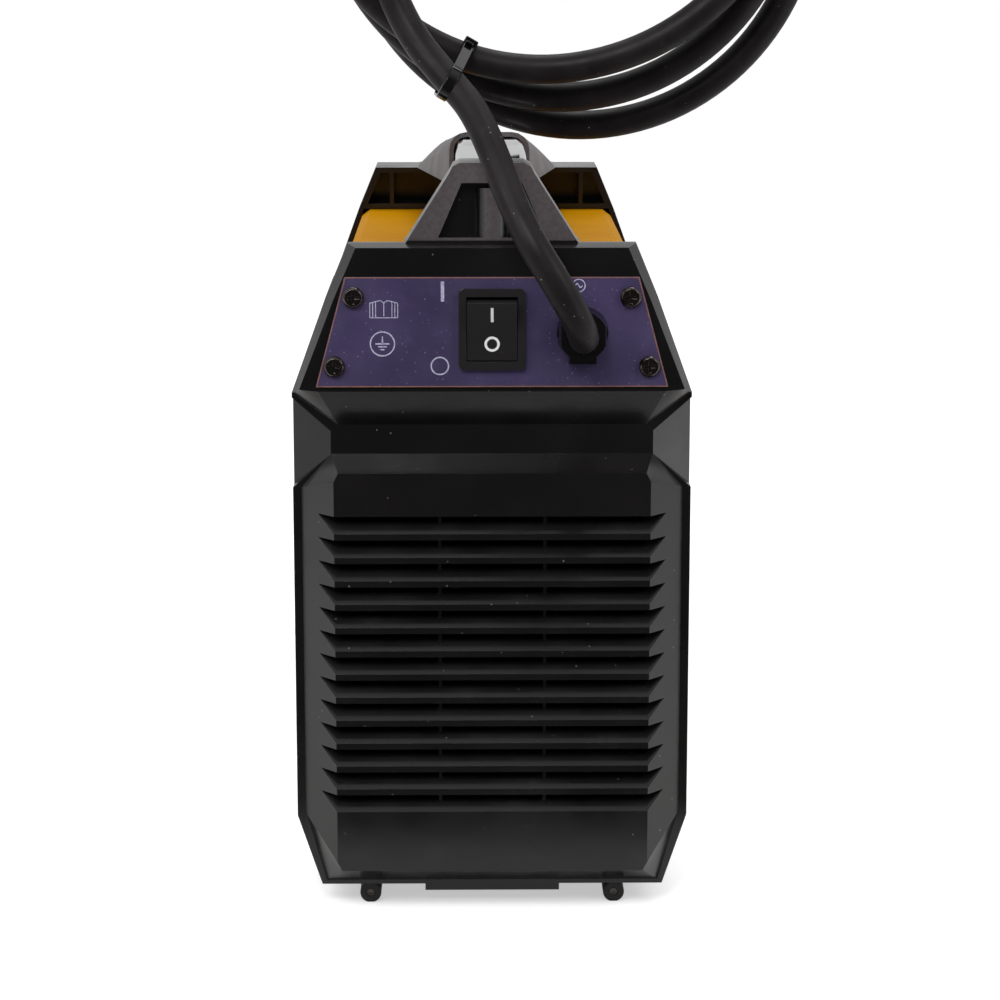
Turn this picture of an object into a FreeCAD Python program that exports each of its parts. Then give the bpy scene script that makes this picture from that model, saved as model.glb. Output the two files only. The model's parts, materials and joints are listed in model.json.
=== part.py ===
# Inverter arc welder with its mains cord coiled on the handle.
# Millimetres. x runs to the right seen from behind, y ahead to the front panel, z up from the floor.
import FreeCAD, Part
import Sketcher
import math
import os
import re

doc = FreeCAD.newDocument("inverter_arc_welder")
sheet = doc.addObject("Spreadsheet::Sheet", "Sizes")

# Driving dimensions, by the piece that they belong to
SIZES = {
    # Case outline, shared by both end frames
    "case_length": 400.0,
    "case_width": 154.0,
    "case_top": 263.5,
    "top_width": 110.0,
    "shoulder_width": 127.0,
    "shoulder_height": 243.0,
    "shoulder_drop": 37.0,
    "heel_height": 36.5,
    "sole_width": 135.0,
    "foot_height": 8.0,
    "frame_wall": 2.5,
    "rear_frame_depth": 46.0,
    "front_frame_depth": 32.0,
    "face_bevel": 14.0,
    "overrun": 1.0,
    "seat_gap": 0.1,
    "corner_fill": 13.5,
    "corner_depth": 12.0,
    # Label recess block
    "label_rise": 7.0,
    "label_foot": 207.5,
    "label_edge_inset": 3.3,
    "label_brow_inset": 10.5,
    "brow_half": 59.2,
    "brow_height": 193.5,
    "label_pocket_top": 241.5,
    "label_pocket_foot": 213.0,
    "label_pocket_half": 57.0,
    # Groove and its end facets
    "groove_inset": 14.8,
    "groove_low": 182.0,
    "groove_high": 191.0,
    "facet_spread": 14.0,
    "facet_depth": 8.5,
    # Louvre block
    "louvre_inset": 16.3,
    "louvre_foot": 18.0,
    "louvre_head": 177.0,
    "louvre_corner": 3.5,
    "louvre_skirt": 3.4,
    "louvre_pocket_inset": 19.0,
    "louvre_pocket_foot": 21.0,
    "louvre_pocket_head": 171.0,
    "lip_height": 160.1,
    "slat_pitch": 9.25,
    "slat_depth": 7.0,
    "slat_drop": 6.8,
    "slat_wall": 2.5,
    "slit_gap": 2.2,
    "slit_roof": 0.5,
    "slit_inset": 18.0,
    "slit_rib_place": 20.25,
    "slit_rib": 1.2,
    "rear_slats": 13,
    "front_slats": 8,
    # Hollow hump above the cover
    "hump_shelf": 2.5,
    "hump_rib_place": 47.0,
    "hump_rib": 2.0,
    "hump_ridge": 5.0,
    # Tab under the rear frame
    "tab_width": 53.2,
    "tab_drop": 2.7,
    "tab_depth": 9.0,
    # Rear handle tower
    "tower_depth": 22.0,
    "tower_top": 293.9,
    "tower_base": 67.2,
    "tower_crown": 24.4,
    "tower_corner": 4.0,
    "recess_depth": 4.0,
    "recess_base": 41.0,
    "recess_top_width": 23.0,
    "recess_top": 286.3,
    "recess_foot": 265.5,
    "column_radius": 7.0,
    # Grip
    "grip_width": 28.0,
    "grip_height": 18.0,
    "grip_drop": 0.6,
    "grip_wall": 3.0,
    "grip_corner": 3.0,
    "grip_insert": 10.0,
    "grip_apex": 38.0,
    "grip_crown": 4.2,
    "underside_slot": 16.0,
    "handle_screw_place": 30.0,
    # Front arm, flaring from its collar down to the front frame
    "collar_place": 60.0,
    "collar_width": 34.0,
    "collar_top": 296.1,
    "collar_foot": 274.0,
    "collar_corner": 7.5,
    "collar_wall": 2.0,
    "bulkhead": 3.0,
    "arm_base": 69.0,
    "arm_base_crown": 40.0,
    "arm_base_rise": 13.5,
    "arm_toe_rise": 2.0,
    "arm_wall": 3.0,
    "arm_screw_place": 14.0,
    # Yellow cover and base tray
    "sheet_gauge": 1.2,
    "cover_fit": 0.3,
    "cover_reach": 20.0,
    "cover_bend": 3.0,
    "tray_flange": 60.0,
    # Screws
    "screw_head": 4.1,
    "screw_crown": 3.2,
    "screw_head_height": 2.1,
    "screw_shank": 1.75,
    "screw_length": 8.0,
    "screw_recess": 1.3,
    "recess_arm": 2.3,
    "recess_slot": 0.95,
    "screw_fit": 0.05,
    # Rear and front label plates
    "label_gauge": 0.8,
    "label_top": 251.5,
    "label_base": 209.3,
    "label_top_half": 56.0,
    "label_base_half": 67.3,
    "label_screw_low": 217.3,
    "label_screw_high": 243.8,
    "label_screw_low_half": 60.1,
    "label_screw_high_half": 52.7,
    # Rocker switch
    "switch_height": 231.65,
    "bezel_width": 25.5,
    "bezel_height": 31.0,
    "bezel_gauge": 1.6,
    "switch_width": 21.8,
    "switch_tall": 28.2,
    "switch_depth": 22.0,
    "rocker_width": 19.0,
    "rocker_sweep_radius": 12.1,
    "rocker_gap": 0.25,
    "rocker_well": 11.0,
    "rocker_travel": 20.0,
    "rocker_end_angle": 19.5,
    "rocker_back_angle": 25.0,
    "rocker_dip": 2.6,
    "pivot_depth": 2.2,
    "pivot_radius": 1.5,
    "pivot_length": 1.0,
    "running_fit": 0.05,
    "blade_width": 6.3,
    "blade_gauge": 0.8,
    "blade_length": 8.0,
    "blade_pitch": 8.0,
    # Strain relief
    "relief_place": 34.4,
    "relief_height": 230.0,
    "relief_radius": 10.2,
    "relief_flat": 9.35,
    "relief_length": 9.0,
    "relief_barrel": 9.6,
    "relief_depth": 14.0,
    "relief_tongue": 5.5,
    "relief_tongue_drop": 11.8,
    "relief_nut_radius": 13.0,
    "relief_nut_height": 5.0,
    # Feet
    "foot_place": 48.4,
    "foot_radius": 4.2,
    "foot_length": 18.0,
    "foot_setback": 1.0,
    "foot_screw_radius": 1.5,
    "foot_screw_length": 8.0,
    "foot_screw_recess": 0.8,
    # Screws of the cover and of the base
    "side_screw_height": 50.0,
    "side_screw_gap": 120.0,
    "frame_screw_height": 103.0,
    "frame_screw_reach": 10.0,
    "base_screw_place": 30.0,
    "base_screw_setback": 20.0,
    # Fan
    "fan_height": 100.0,
    "fan_side_gap": 2.0,
    "fan_depth": 25.0,
    "fan_rim": 2.0,
    "fan_corner": 8.0,
    "fan_hub": 19.0,
    "fan_tip_gap": 2.5,
    "fan_blade_gauge": 1.8,
    "fan_blade_chord": 13.0,
    "fan_blade_rise": 18.0,
    "fan_blades": 7,
    "fan_base_gauge": 3.0,
    "fan_gap": 1.0,
    "fan_strut": 6.0,
    "fan_shaft": 1.5,
    "fan_screw_inset": 6.5,
    "fan_post": 3.6,
    # Main board
    "board_gauge": 1.6,
    "board_height": 12.0,
    "board_inset": 15.0,
    "board_rear": 130.0,
    "board_front": 130.0,
    "standoff_radius": 3.0,
    "standoff_inset": 11.5,
    "standoff_setback": 6.0,
    "capacitor_radius": 17.5,
    "capacitor_height": 50.0,
    "capacitor_pitch": 40.0,
    "capacitor_place": 105.0,
    "bridge_size": 28.0,
    "bridge_height": 12.0,
    "bridge_place": 45.0,
    "relay_width": 14.0,
    "relay_length": 29.0,
    "relay_height": 25.0,
    "part_row": 66.0,
    # Heatsinks and what is clamped to them
    "sink_length": 90.0,
    "sink_width": 42.0,
    "sink_height": 70.0,
    "sink_back": 6.0,
    "sink_fin": 1.6,
    "sink_fins": 7,
    "sink_inner": 12.0,
    "device_width": 16.0,
    "device_height": 21.0,
    "device_gauge": 5.0,
    "device_pitch": 21.0,
    "device_count": 4,
    "device_lift": 12.0,
    # Transformer
    "core_width": 56.0,
    "core_length": 44.0,
    "core_height": 60.0,
    "core_leg": 14.0,
    "core_yoke": 14.0,
    "core_place": 90.0,
    "core_offset": 30.0,
    "winding_gap": 0.3,
    "winding_bulge": 7.0,
    # Output choke
    "choke_radius": 25.0,
    "choke_bore": 13.0,
    "choke_height": 20.0,
    "choke_coat": 2.5,
    "choke_angle": 300.0,
    "choke_offset": 30.0,
    # Output sockets
    "socket_inset": 44.0,
    "socket_height": 55.0,
    "socket_flange": 17.0,
    "socket_flange_gauge": 5.0,
    "socket_nose": 13.0,
    "socket_nose_length": 3.0,
    "socket_barrel": 12.5,
    "socket_depth": 17.0,
    "contact_radius": 9.0,
    "contact_bore": 6.55,
    "contact_bore_length": 24.0,
    "contact_floor": 4.0,
    "stud_radius": 4.0,
    "stud_length": 14.0,
    "socket_nut_radius": 16.5,
    "socket_nut_height": 6.0,
    "busbar_width": 20.0,
    "busbar_gauge": 3.0,
    "busbar_gap": 5.0,
    # Controls
    "knob_place": 30.0,
    "knob_line": 229.0,
    "knob_radius": 13.0,
    "knob_height": 17.0,
    "knob_lift": 0.6,
    "knob_flute": 1.1,
    "knob_flutes": 18,
    "knob_bore_depth": 11.0,
    "shaft_radius": 3.0,
    "shaft_grip": 0.02,
    "pot_radius": 8.5,
    "control_gap": 14.0,
    "control_inset": 7.5,
    "control_low": 202.0,
    "control_high": 240.0,
    "window_place": 22.0,
    "window_line": 231.5,
    "window_width": 42.0,
    "window_height": 18.0,
    "window_gauge": 1.5,
    "lamp_radius": 2.4,
    "lamp_line": 216.5,
    "lamp_pitch": 14.0,
    "lamp_dome": 1.0,
    # Dust filter behind the front louvres
    "filter_inset": 17.0,
    "filter_foot": 88.0,
    "filter_gauge": 3.0,
    # Mains cord
    "cord_diameter": 11.5,
    "coil_radius": 91.0,
    "coil_pitch": 12.8,
    "coil_place": 12.0,
    "coil_lead_in": 13.0,
    "coil_lead_out": 26.0,
    # Cable tie round the coil
    "tie_wide": 34.5,
    "tie_deep": 78.0,
    "tie_gauge": 1.2,
    "tie_band": 4.5,
    # Mains plug
    "plug_sleeve": 7.5,
    "plug_sleeve_length": 22.0,
    "plug_radius": 17.0,
    "plug_length": 34.0,
    "plug_pin": 2.4,
    "plug_pin_length": 19.0,
    "plug_pin_pitch": 19.0,
}

for row, (word, number) in enumerate(SIZES.items(), 1):
    sheet.set(f"A{row}", word)
    sheet.set(f"B{row}", str(number))
    sheet.setAlias(f"B{row}", word)
doc.recompute()


def linked(formula):
    """A formula in sheet words, as an expression that reads the sheet."""
    def reference(found):
        word = found.group()
        return "Sizes." + word if word in SIZES else word
    return re.sub(r"[a-z][a-z_]*[a-z]", reference, str(formula))


def value(formula):
    """What a formula comes to now, in millimetres."""
    return float(sheet.evalExpression(linked(formula)))


# Places worked out from the driving dimensions
SIDE = "(case_width / 2)"
SOLE = "(sole_width / 2)"
SHOULDER = "(shoulder_width / 2)"
TOP = "(top_width / 2)"
FLANK = "(shoulder_height - shoulder_drop)"
SOCKET = f"({SIDE} - socket_inset)"
GROOVE_HALF = f"({SIDE} - groove_inset)"
LOUVRE_HALF = f"({SIDE} - louvre_inset)"
SLIT_HALF = f"({SIDE} - slit_inset)"
FAN_HALF = f"({SIDE} - frame_wall - corner_fill - fan_side_gap)"
FAN_THROAT = f"({FAN_HALF} - fan_rim)"
FAN_SCREW = f"({FAN_HALF} - fan_screw_inset)"
REAR_FACE = "(0 - (case_length + knob_height - face_bevel + label_rise) / 2)"
REAR_OUTLINE = f"({REAR_FACE} + face_bevel)"
REAR_LABEL = f"({REAR_OUTLINE} - label_rise)"
REAR_RIM = f"({REAR_OUTLINE} + rear_frame_depth)"
FRONT_FACE = f"({REAR_FACE} + case_length)"
FRONT_OUTLINE = f"({FRONT_FACE} - face_bevel)"
FRONT_LABEL = f"({FRONT_OUTLINE} + label_rise)"
FRONT_RIM = f"({FRONT_OUTLINE} - front_frame_depth)"
CAVITY_FLOOR = "(foot_height + frame_wall)"
TRAY_FLOOR = "(foot_height + frame_wall + cover_fit)"
TRAY_TOP = f"({TRAY_FLOOR} + sheet_gauge)"
BOARD_FOOT = f"({TRAY_TOP} + board_height)"
BOARD_TOP = f"({BOARD_FOOT} + board_gauge)"
SLAT_FLOOR = "(face_bevel - slat_depth - slat_wall)"
TOWER_FRONT = f"({REAR_OUTLINE} + tower_depth)"
GRIP_TOP = "(tower_top - grip_drop)"
COLLAR = "(0 - collar_place)"
BEZEL_FACE = f"({REAR_LABEL} - label_gauge - bezel_gauge)"
CONTROL_FACE = f"({FRONT_LABEL} - frame_wall - control_gap)"


def flipped(points):
    """The same points on the other side of x = 0."""
    return [(f"0 - ({x})", z) for x, z in points]


def mirrored(right):
    """A closed outline from its right half, listed from the bottom up."""
    return right + flipped(reversed(right))


def band(outer, inner):
    """A folded sheet's outline, from right halves that start at its open end."""
    return outer + flipped(reversed(outer)) + flipped(inner) + list(reversed(inner))


def oblong(x, z):
    """A rectangle between two x and two z formulas."""
    return [(x[0], z[0]), (x[1], z[0]), (x[1], z[1]), (x[0], z[1])]


def circle(x, z, radius):
    """A circle, told apart from an outline by its three formulas."""
    return (x, z, radius)


def part_body(name):
    """An empty body that names a piece or one of its like pieces."""
    made = doc.addObject("PartDesign::Body", name)
    made.Label = name
    return made


def origin_part(owner, role):
    """One of a body's own origin planes or axes."""
    return next(item for item in owner.Origin.OriginFeatures if item.Role == role)


def bind(drawing, kind, geometry, point, formula):
    """Hold one coordinate or radius of a sketch to a formula."""
    if kind == "Radius":
        rule = Sketcher.Constraint(kind, geometry, value(formula))
    else:
        rule = Sketcher.Constraint(kind, -1, 1, geometry, point, value(formula))
    place = drawing.addConstraint(rule)
    drawing.setExpression(f"Constraints[{place}]", linked(formula))


def draw_circle(drawing, u, v, radius):
    centre = FreeCAD.Vector(value(u), value(v), 0)
    ring = drawing.addGeometry(Part.Circle(centre, FreeCAD.Vector(0, 0, 1), value(radius)))
    bind(drawing, "DistanceX", ring, 3, u)
    bind(drawing, "DistanceY", ring, 3, v)
    bind(drawing, "Radius", ring, 0, radius)


def draw_outline(drawing, points):
    corners = [FreeCAD.Vector(value(u), value(v), 0) for u, v in points]
    first = drawing.GeometryCount
    count = len(points)
    for step in range(count):
        drawing.addGeometry(Part.LineSegment(corners[step], corners[(step + 1) % count]))
    for step in range(count):
        following = first + (step + 1) % count
        drawing.addConstraint(Sketcher.Constraint("Coincident", first + step, 2, following, 1))
    for step, (u, v) in enumerate(points):
        bind(drawing, "DistanceX", first + step, 1, u)
        bind(drawing, "DistanceY", first + step, 1, v)


def sketch(owner, name, role, offset, loops):
    """Outlines and circles on one of the body's planes, moved along its normal by offset."""
    drawing = owner.newObject("Sketcher::SketchObject", name)
    drawing.AttachmentSupport = [(origin_part(owner, role), "")]
    drawing.MapMode = "FlatFace"
    drawing.setExpression("AttachmentOffset.Base.z", linked(offset))
    for loop in loops:
        if isinstance(loop, tuple):
            draw_circle(drawing, *loop)
        else:
            draw_outline(drawing, loop)
    return drawing


def layer(owner, kind, name, start, length, ahead, loops):
    """A pad or pocket of outlines in x and z, from the plane y = start, ahead or back."""
    drawing = sketch(owner, name + "_outline", "XZ_Plane", f"0 - ({start})", loops)
    feature = owner.newObject("PartDesign::" + kind, name)
    feature.Profile = drawing
    feature.setExpression("Length", linked(length))
    feature.Reversed = ahead if kind == "Pad" else not ahead
    return feature


def column(owner, kind, name, start, length, loops):
    """A pad or pocket of outlines in x and y, upwards from the plane z = start."""
    drawing = sketch(owner, name + "_outline", "XY_Plane", start, loops)
    feature = owner.newObject("PartDesign::" + kind, name)
    feature.Profile = drawing
    feature.setExpression("Length", linked(length))
    feature.Reversed = kind == "Pocket"
    return feature


def bridge(owner, kind, name, role, first, second):
    """A straight-sided loft between two outlines, each given as an offset and its points."""
    near = sketch(owner, name + "_near", role, first[0], [first[1]])
    far = sketch(owner, name + "_far", role, second[0], [second[1]])
    feature = owner.newObject("PartDesign::" + kind, name)
    feature.Profile = near
    feature.Sections = [(far, [""])]
    feature.Ruled = True
    return feature


def repeat_down(owner, name, original, drawing, pitch, count):
    """Copies of a cut, one pitch below another."""
    pattern = owner.newObject("PartDesign::LinearPattern", name)
    pattern.Originals = [original]
    pattern.Direction = (drawing, ["V_Axis"])
    pattern.Reversed = True
    pattern.Mode = "Spacing"
    pattern.setExpression("Offset", linked(pitch))
    pattern.setExpression("Occurrences", linked(count))
    owner.Tip = pattern
    return pattern


def repeat_round(owner, name, original, axis, count):
    """Copies of a feature turned round one of the body's axes."""
    pattern = owner.newObject("PartDesign::PolarPattern", name)
    pattern.Originals = [original]
    pattern.Axis = (origin_part(owner, axis), [""])
    pattern.Angle = 360
    pattern.setExpression("Occurrences", linked(count))
    owner.Tip = pattern
    return pattern


def block(name, x, y, z):
    """A box between two x, two y and two z formulas."""
    box = doc.addObject("Part::Box", name)
    for length, place, (low, high) in (("Length", "x", x), ("Width", "y", y), ("Height", "z", z)):
        box.setExpression(length, linked(f"({high}) - ({low})"))
        box.setExpression("Placement.Base." + place, linked(low))
    return box


TURNS = {
    "x": FreeCAD.Rotation(FreeCAD.Vector(0, 1, 0), 90),
    "-x": FreeCAD.Rotation(FreeCAD.Vector(0, 1, 0), -90),
    "y": FreeCAD.Rotation(FreeCAD.Vector(1, 0, 0), -90),
    "-y": FreeCAD.Rotation(FreeCAD.Vector(1, 0, 0), 90),
    "z": FreeCAD.Rotation(),
    "-z": FreeCAD.Rotation(FreeCAD.Vector(1, 0, 0), 180),
}


def put(thing, x, y, z, heading="z"):
    """Turn a piece to its heading and bind its place."""
    thing.Placement = FreeCAD.Placement(FreeCAD.Vector(0, 0, 0), TURNS[heading])
    for place, formula in (("x", x), ("y", y), ("z", z)):
        thing.setExpression("Placement.Base." + place, linked(formula))
    return thing


def rod(name, heading, radius, length, x, y, z):
    """A cylinder that starts at x, y, z and runs along its heading."""
    made = doc.addObject("Part::Cylinder", name)
    made.setExpression("Radius", linked(radius))
    made.setExpression("Height", linked(length))
    return put(made, x, y, z, heading)


def joined(name, pieces):
    made = doc.addObject("Part::MultiFuse", name)
    made.Shapes = pieces
    return made


def cut(name, base, *tools):
    """A base with one or more tools taken away."""
    made = doc.addObject("Part::Cut", name)
    made.Base = base
    made.Tool = tools[0] if len(tools) == 1 else joined(name + "_tools", list(tools))
    return made


def group(name, pieces):
    """Like pieces that share one node."""
    made = doc.addObject("Part::Compound", name)
    made.Links = pieces
    return made


NODES = []


def node(thing, name):
    """Name a finished piece and list it for writing."""
    thing.Label = name
    NODES.append(thing)
    return thing


# End frames

def case_outline():
    right = [
        (SOLE, "foot_height"),
        (SIDE, "heel_height"),
        (SIDE, FLANK),
        (SHOULDER, "shoulder_height"),
        (TOP, "case_top"),
    ]
    return mirrored(right)


def cavity_outline(fill):
    """The hollow's outline; fill draws its sides in behind the groove's facets."""
    right = [
        (f"{SOLE} - frame_wall - ({fill}) / 2", CAVITY_FLOOR),
        (f"{SIDE} - frame_wall - ({fill})", "heel_height"),
        (f"{SIDE} - frame_wall - ({fill})", FLANK),
        (f"{SHOULDER} - frame_wall", "shoulder_height"),
    ]
    return mirrored(right)


def hump_outlines():
    """The hollow above the shelf, split in three by two ribs."""
    low = "shoulder_height + hump_shelf"
    high = "case_top - frame_wall"
    middle = oblong(("hump_rib / 2 - hump_rib_place", "hump_rib_place - hump_rib / 2"), (low, high))
    right = [
        ("hump_rib_place + hump_rib / 2", low),
        (f"{SHOULDER} - frame_wall - hump_rib", low),
        (f"{TOP} - frame_wall", high),
        ("hump_rib_place + hump_rib / 2", high),
    ]
    return [middle, right, flipped(right)]


def set_back_hump(frame):
    """The hump keeps a shallow ridge, deeper and ribbed under the tower that stands on it."""
    foot = "shoulder_height + hump_shelf"
    half = "tower_base / 2"
    right = oblong((half, SHOULDER), (foot, "case_top + overrun"))
    layer(frame, "Pocket", "hump_end", REAR_RIM, "rear_frame_depth - hump_ridge", False,
          [right, flipped(right)])
    middle = oblong((f"0 - {half} - overrun", f"{half} + overrun"), (foot, "case_top + overrun"))
    layer(frame, "Pocket", "tower_end", REAR_RIM, "rear_frame_depth - tower_depth", False, [middle])
    rib = oblong((f"{half} - hump_rib", half), (f"{foot} - overrun", "case_top - frame_wall / 2"))
    layer(frame, "Pad", "tower_ribs", rear_out("0 - frame_wall / 2"), "tower_depth - frame_wall / 2",
          True, [rib, flipped(rib)])


def label_outline(inset):
    """The recess block's outline on the label plane, or on the outline plane with no inset."""
    if inset:
        right = [
            (f"{SIDE} - label_brow_inset", "label_foot"),
            (f"{SIDE} - label_edge_inset", "label_foot + label_gauge"),
            (f"{SHOULDER} - label_edge_inset", "shoulder_height"),
            (f"{TOP} - label_edge_inset", "case_top - overrun"),
        ]
    else:
        right = [
            ("brow_half", "brow_height"),
            (SIDE, FLANK),
            (SHOULDER, "shoulder_height"),
            (TOP, "case_top"),
        ]
    return mirrored(right)


def louvre_outline(inset):
    """The louvre block's outline on its face, or where it grows from the outline plane."""
    if inset:
        right = [
            (f"{LOUVRE_HALF} - louvre_corner / 2", "louvre_foot"),
            (LOUVRE_HALF, "louvre_foot + louvre_corner"),
            (LOUVRE_HALF, "louvre_head - louvre_corner"),
            (f"{LOUVRE_HALF} - louvre_corner / 2", "louvre_head"),
        ]
    else:
        right = [
            (f"{SOLE} - louvre_skirt / 2", "foot_height + louvre_skirt / 2"),
            (f"{SIDE} - louvre_skirt", "heel_height + overrun"),
            (f"{SIDE} - louvre_skirt", "groove_low - facet_spread + overrun"),
            (GROOVE_HALF, "groove_low"),
        ]
    return mirrored(right)


def cut_facets(frame, outward):
    """Slanted facets that end the groove at both sides."""
    for side, word in (("", "right"), ("0 - ", "left")):
        inner = oblong((outward("0"), outward("overrun")), ("groove_low", "groove_high"))
        outer = oblong(
            (outward("0 - facet_depth"), outward("overrun")),
            ("groove_low - facet_spread", "groove_high + facet_spread"),
        )
        bridge(
            frame, "SubtractiveLoft", "facet_" + word, "YZ_Plane",
            (f"{side}{GROOVE_HALF}", inner), (f"{side}({SIDE} + overrun)", outer),
        )


def cut_slats(frame, outward, inward_ahead, count):
    """Shingled slats: a sloping notch under each lip, with a slit split by two finned ribs."""
    face = outward("face_bevel + overrun")
    floor = outward("face_bevel - slat_depth")
    notch_points = [
        (face, "lip_height"),
        (floor, "lip_height"),
        (outward("face_bevel"), "lip_height - slat_drop"),
        (face, "lip_height - slat_drop"),
    ]
    notch_drawing = sketch(frame, "notch_outline", "YZ_Plane", f"0 - {SIDE}", [notch_points])
    notch = frame.newObject("PartDesign::Pocket", "notch")
    notch.Profile = notch_drawing
    notch.setExpression("Length", linked("case_width"))
    notch.Reversed = True
    repeat_down(frame, "notches", notch, notch_drawing, "slat_pitch", count)
    height = ("lip_height - slit_roof - slit_gap", "lip_height - slit_roof")
    inner = "slit_rib_place - slit_rib / 2"
    outer = "slit_rib_place + slit_rib / 2"
    middle = oblong((f"0 - ({inner})", inner), height)
    right = oblong((outer, SLIT_HALF), height)
    left = oblong((f"0 - {SLIT_HALF}", f"0 - ({outer})"), height)
    slit = layer(frame, "Pocket", "slit", face, "face_bevel + overrun", inward_ahead,
                 [middle, right, left])
    repeat_down(frame, "slits", slit, slit.Profile[0], "slat_pitch", count)
    deep = outward("face_bevel - slat_depth - overrun / 2")
    half = outward("face_bevel - slat_depth / 2")
    top = "lip_height + overrun / 2"
    foot = "lip_height - slat_drop / 2 - overrun / 2"
    for number, side in enumerate(("", "0 - "), 1):
        drawing = sketch(frame, f"fin_outline_{number}", "YZ_Plane",
                         f"{side}slit_rib_place - slit_rib / 2",
                         [[(deep, top), (half, top), (half, foot), (deep, foot)]])
        fin = frame.newObject("PartDesign::Pad", f"fin_{number}")
        fin.Profile = drawing
        fin.setExpression("Length", linked("slit_rib"))
        repeat_down(frame, f"fins_{number}", fin, drawing, "slat_pitch", count)


def label_screw_places():
    for side in ("", "0 - "):
        for half, height in (("label_screw_low_half", "label_screw_low"),
                             ("label_screw_high_half", "label_screw_high")):
            yield f"{side}{half}", height


def end_frame(name, outward, ahead, depth, slats):
    """A hollow end frame. outward gives a plane's y from its reach past the outline plane."""
    frame = part_body(name)
    rim = outward(f"0 - {depth}")
    layer(frame, "Pad", "rim", outward("0"), depth, ahead, [case_outline()])
    cut_facets(frame, outward)
    bridge(frame, "AdditiveLoft", "label_block", "XZ_Plane",
           (f"0 - ({outward('0')})", label_outline(False)),
           (f"0 - ({outward('label_rise')})", label_outline(True)))
    bridge(frame, "AdditiveLoft", "louvre_block", "XZ_Plane",
           (f"0 - ({outward('0')})", louvre_outline(False)),
           (f"0 - ({outward('face_bevel')})", louvre_outline(True)))
    layer(frame, "Pocket", "cavity", rim, f"{depth} - corner_depth", not ahead,
          [cavity_outline("0")])
    bridge(frame, "SubtractiveLoft", "cavity_end", "XZ_Plane",
           (f"0 - ({outward('0 - corner_depth')})", cavity_outline("0")),
           (f"0 - ({outward('0 - frame_wall')})", cavity_outline("corner_fill")))
    layer(frame, "Pocket", "hump", rim, f"{depth} - frame_wall", not ahead, hump_outlines())
    floor = outward("0 - frame_wall")
    label_pocket = oblong(("0 - label_pocket_half", "label_pocket_half"),
                          ("label_pocket_foot", "label_pocket_top"))
    layer(frame, "Pocket", "label_pocket", floor, "label_rise", not ahead, [label_pocket])
    pocket = f"{SIDE} - louvre_pocket_inset"
    louvre_pocket = oblong((f"0 - ({pocket})", pocket),
                           ("louvre_pocket_foot", "louvre_pocket_head"))
    layer(frame, "Pocket", "louvre_pocket", floor, f"frame_wall + {SLAT_FLOOR}", not ahead,
          [louvre_pocket])
    cut_slats(frame, outward, ahead, slats)
    screws = [circle(x, z, "screw_shank + screw_fit") for x, z in label_screw_places()]
    layer(frame, "Pocket", "screw_holes", outward("label_rise + overrun"),
          "frame_wall + label_rise + overrun", ahead, screws)
    base_holes = [circle(x, outward("0 - base_screw_setback"), "screw_shank + screw_fit")
                  for x in ("base_screw_place", "0 - base_screw_place")]
    column(frame, "Pocket", "base_holes", "foot_height - overrun", "frame_wall + 2 * overrun",
           base_holes)
    reach = outward(f"0 - {depth} + frame_screw_reach")
    drill_sides(frame, "side_holes", [(reach, "frame_screw_height")])
    return frame


def drill_sides(owner, name, places):
    """Screw holes through both side walls, at y and z."""
    holes = sketch(owner, name + "_outline", "YZ_Plane", f"0 - {SIDE} - overrun",
                   [circle(y, z, "screw_shank + screw_fit") for y, z in places])
    drilled = owner.newObject("PartDesign::Pocket", name)
    drilled.Profile = holes
    drilled.setExpression("Length", linked("case_width + 2 * overrun"))
    drilled.Reversed = True


def rear_out(reach):
    return f"({REAR_OUTLINE} - ({reach}))"


def front_out(reach):
    return f"({FRONT_OUTLINE} + ({reach}))"


def tower_outline():
    right = [
        ("tower_base / 2", "case_top - overrun"),
        ("tower_crown / 2 + tower_corner", "tower_top - tower_corner"),
        ("tower_crown / 2 + tower_corner * 2 / 3", "tower_top - tower_corner / 3"),
        ("tower_crown / 2", "tower_top"),
    ]
    return mirrored(right)


def make_rear_frame():
    frame = end_frame("rear_frame", rear_out, True, "rear_frame_depth", "rear_slats")
    layer(frame, "Pad", "tower", REAR_OUTLINE, "tower_depth", True, [tower_outline()])
    set_back_hump(frame)
    recess = mirrored([("recess_base / 2", "recess_foot"), ("recess_top_width / 2", "recess_top")])
    layer(frame, "Pocket", "recess", rear_out("overrun"), "recess_depth + overrun", True, [recess])
    column(frame, "Pad", "recess_column", "recess_foot - overrun",
           "recess_top - recess_foot - overrun",
           [circle("0", rear_out("0 - column_radius"), "column_radius")])
    switch_hole = oblong(("0 - switch_width / 2 - seat_gap", "switch_width / 2 + seat_gap"),
                         ("switch_height - switch_tall / 2 - seat_gap",
                          "switch_height + switch_tall / 2 + seat_gap"))
    layer(frame, "Pocket", "switch_hole", rear_out("label_rise + overrun"),
          "switch_depth + 2 * overrun", True, [switch_hole])
    layer(frame, "Pocket", "relief_hole", rear_out("label_rise + overrun"),
          "label_rise + 2 * overrun", True,
          [circle("relief_place", "relief_height", "relief_barrel + seat_gap")])
    posts = [circle(f"{x}{FAN_SCREW}", f"fan_height {z} {FAN_SCREW}", "fan_post")
             for x in ("", "0 - ") for z in ("+", "-")]
    layer(frame, "Pad", "fan_posts", rear_out("0 - frame_wall"), f"frame_wall + {SLAT_FLOOR}",
          False, posts)
    tab = oblong(("0 - tab_width / 2", "tab_width / 2"),
                 ("foot_height - tab_drop", CAVITY_FLOOR))
    layer(frame, "Pad", "tab", REAR_OUTLINE, "tab_depth", True, [tab])
    node(frame, "rear_frame")


def lamp_places():
    for step in (-1, 0, 1):
        yield f"0 - window_place + {step} * lamp_pitch"


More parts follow.
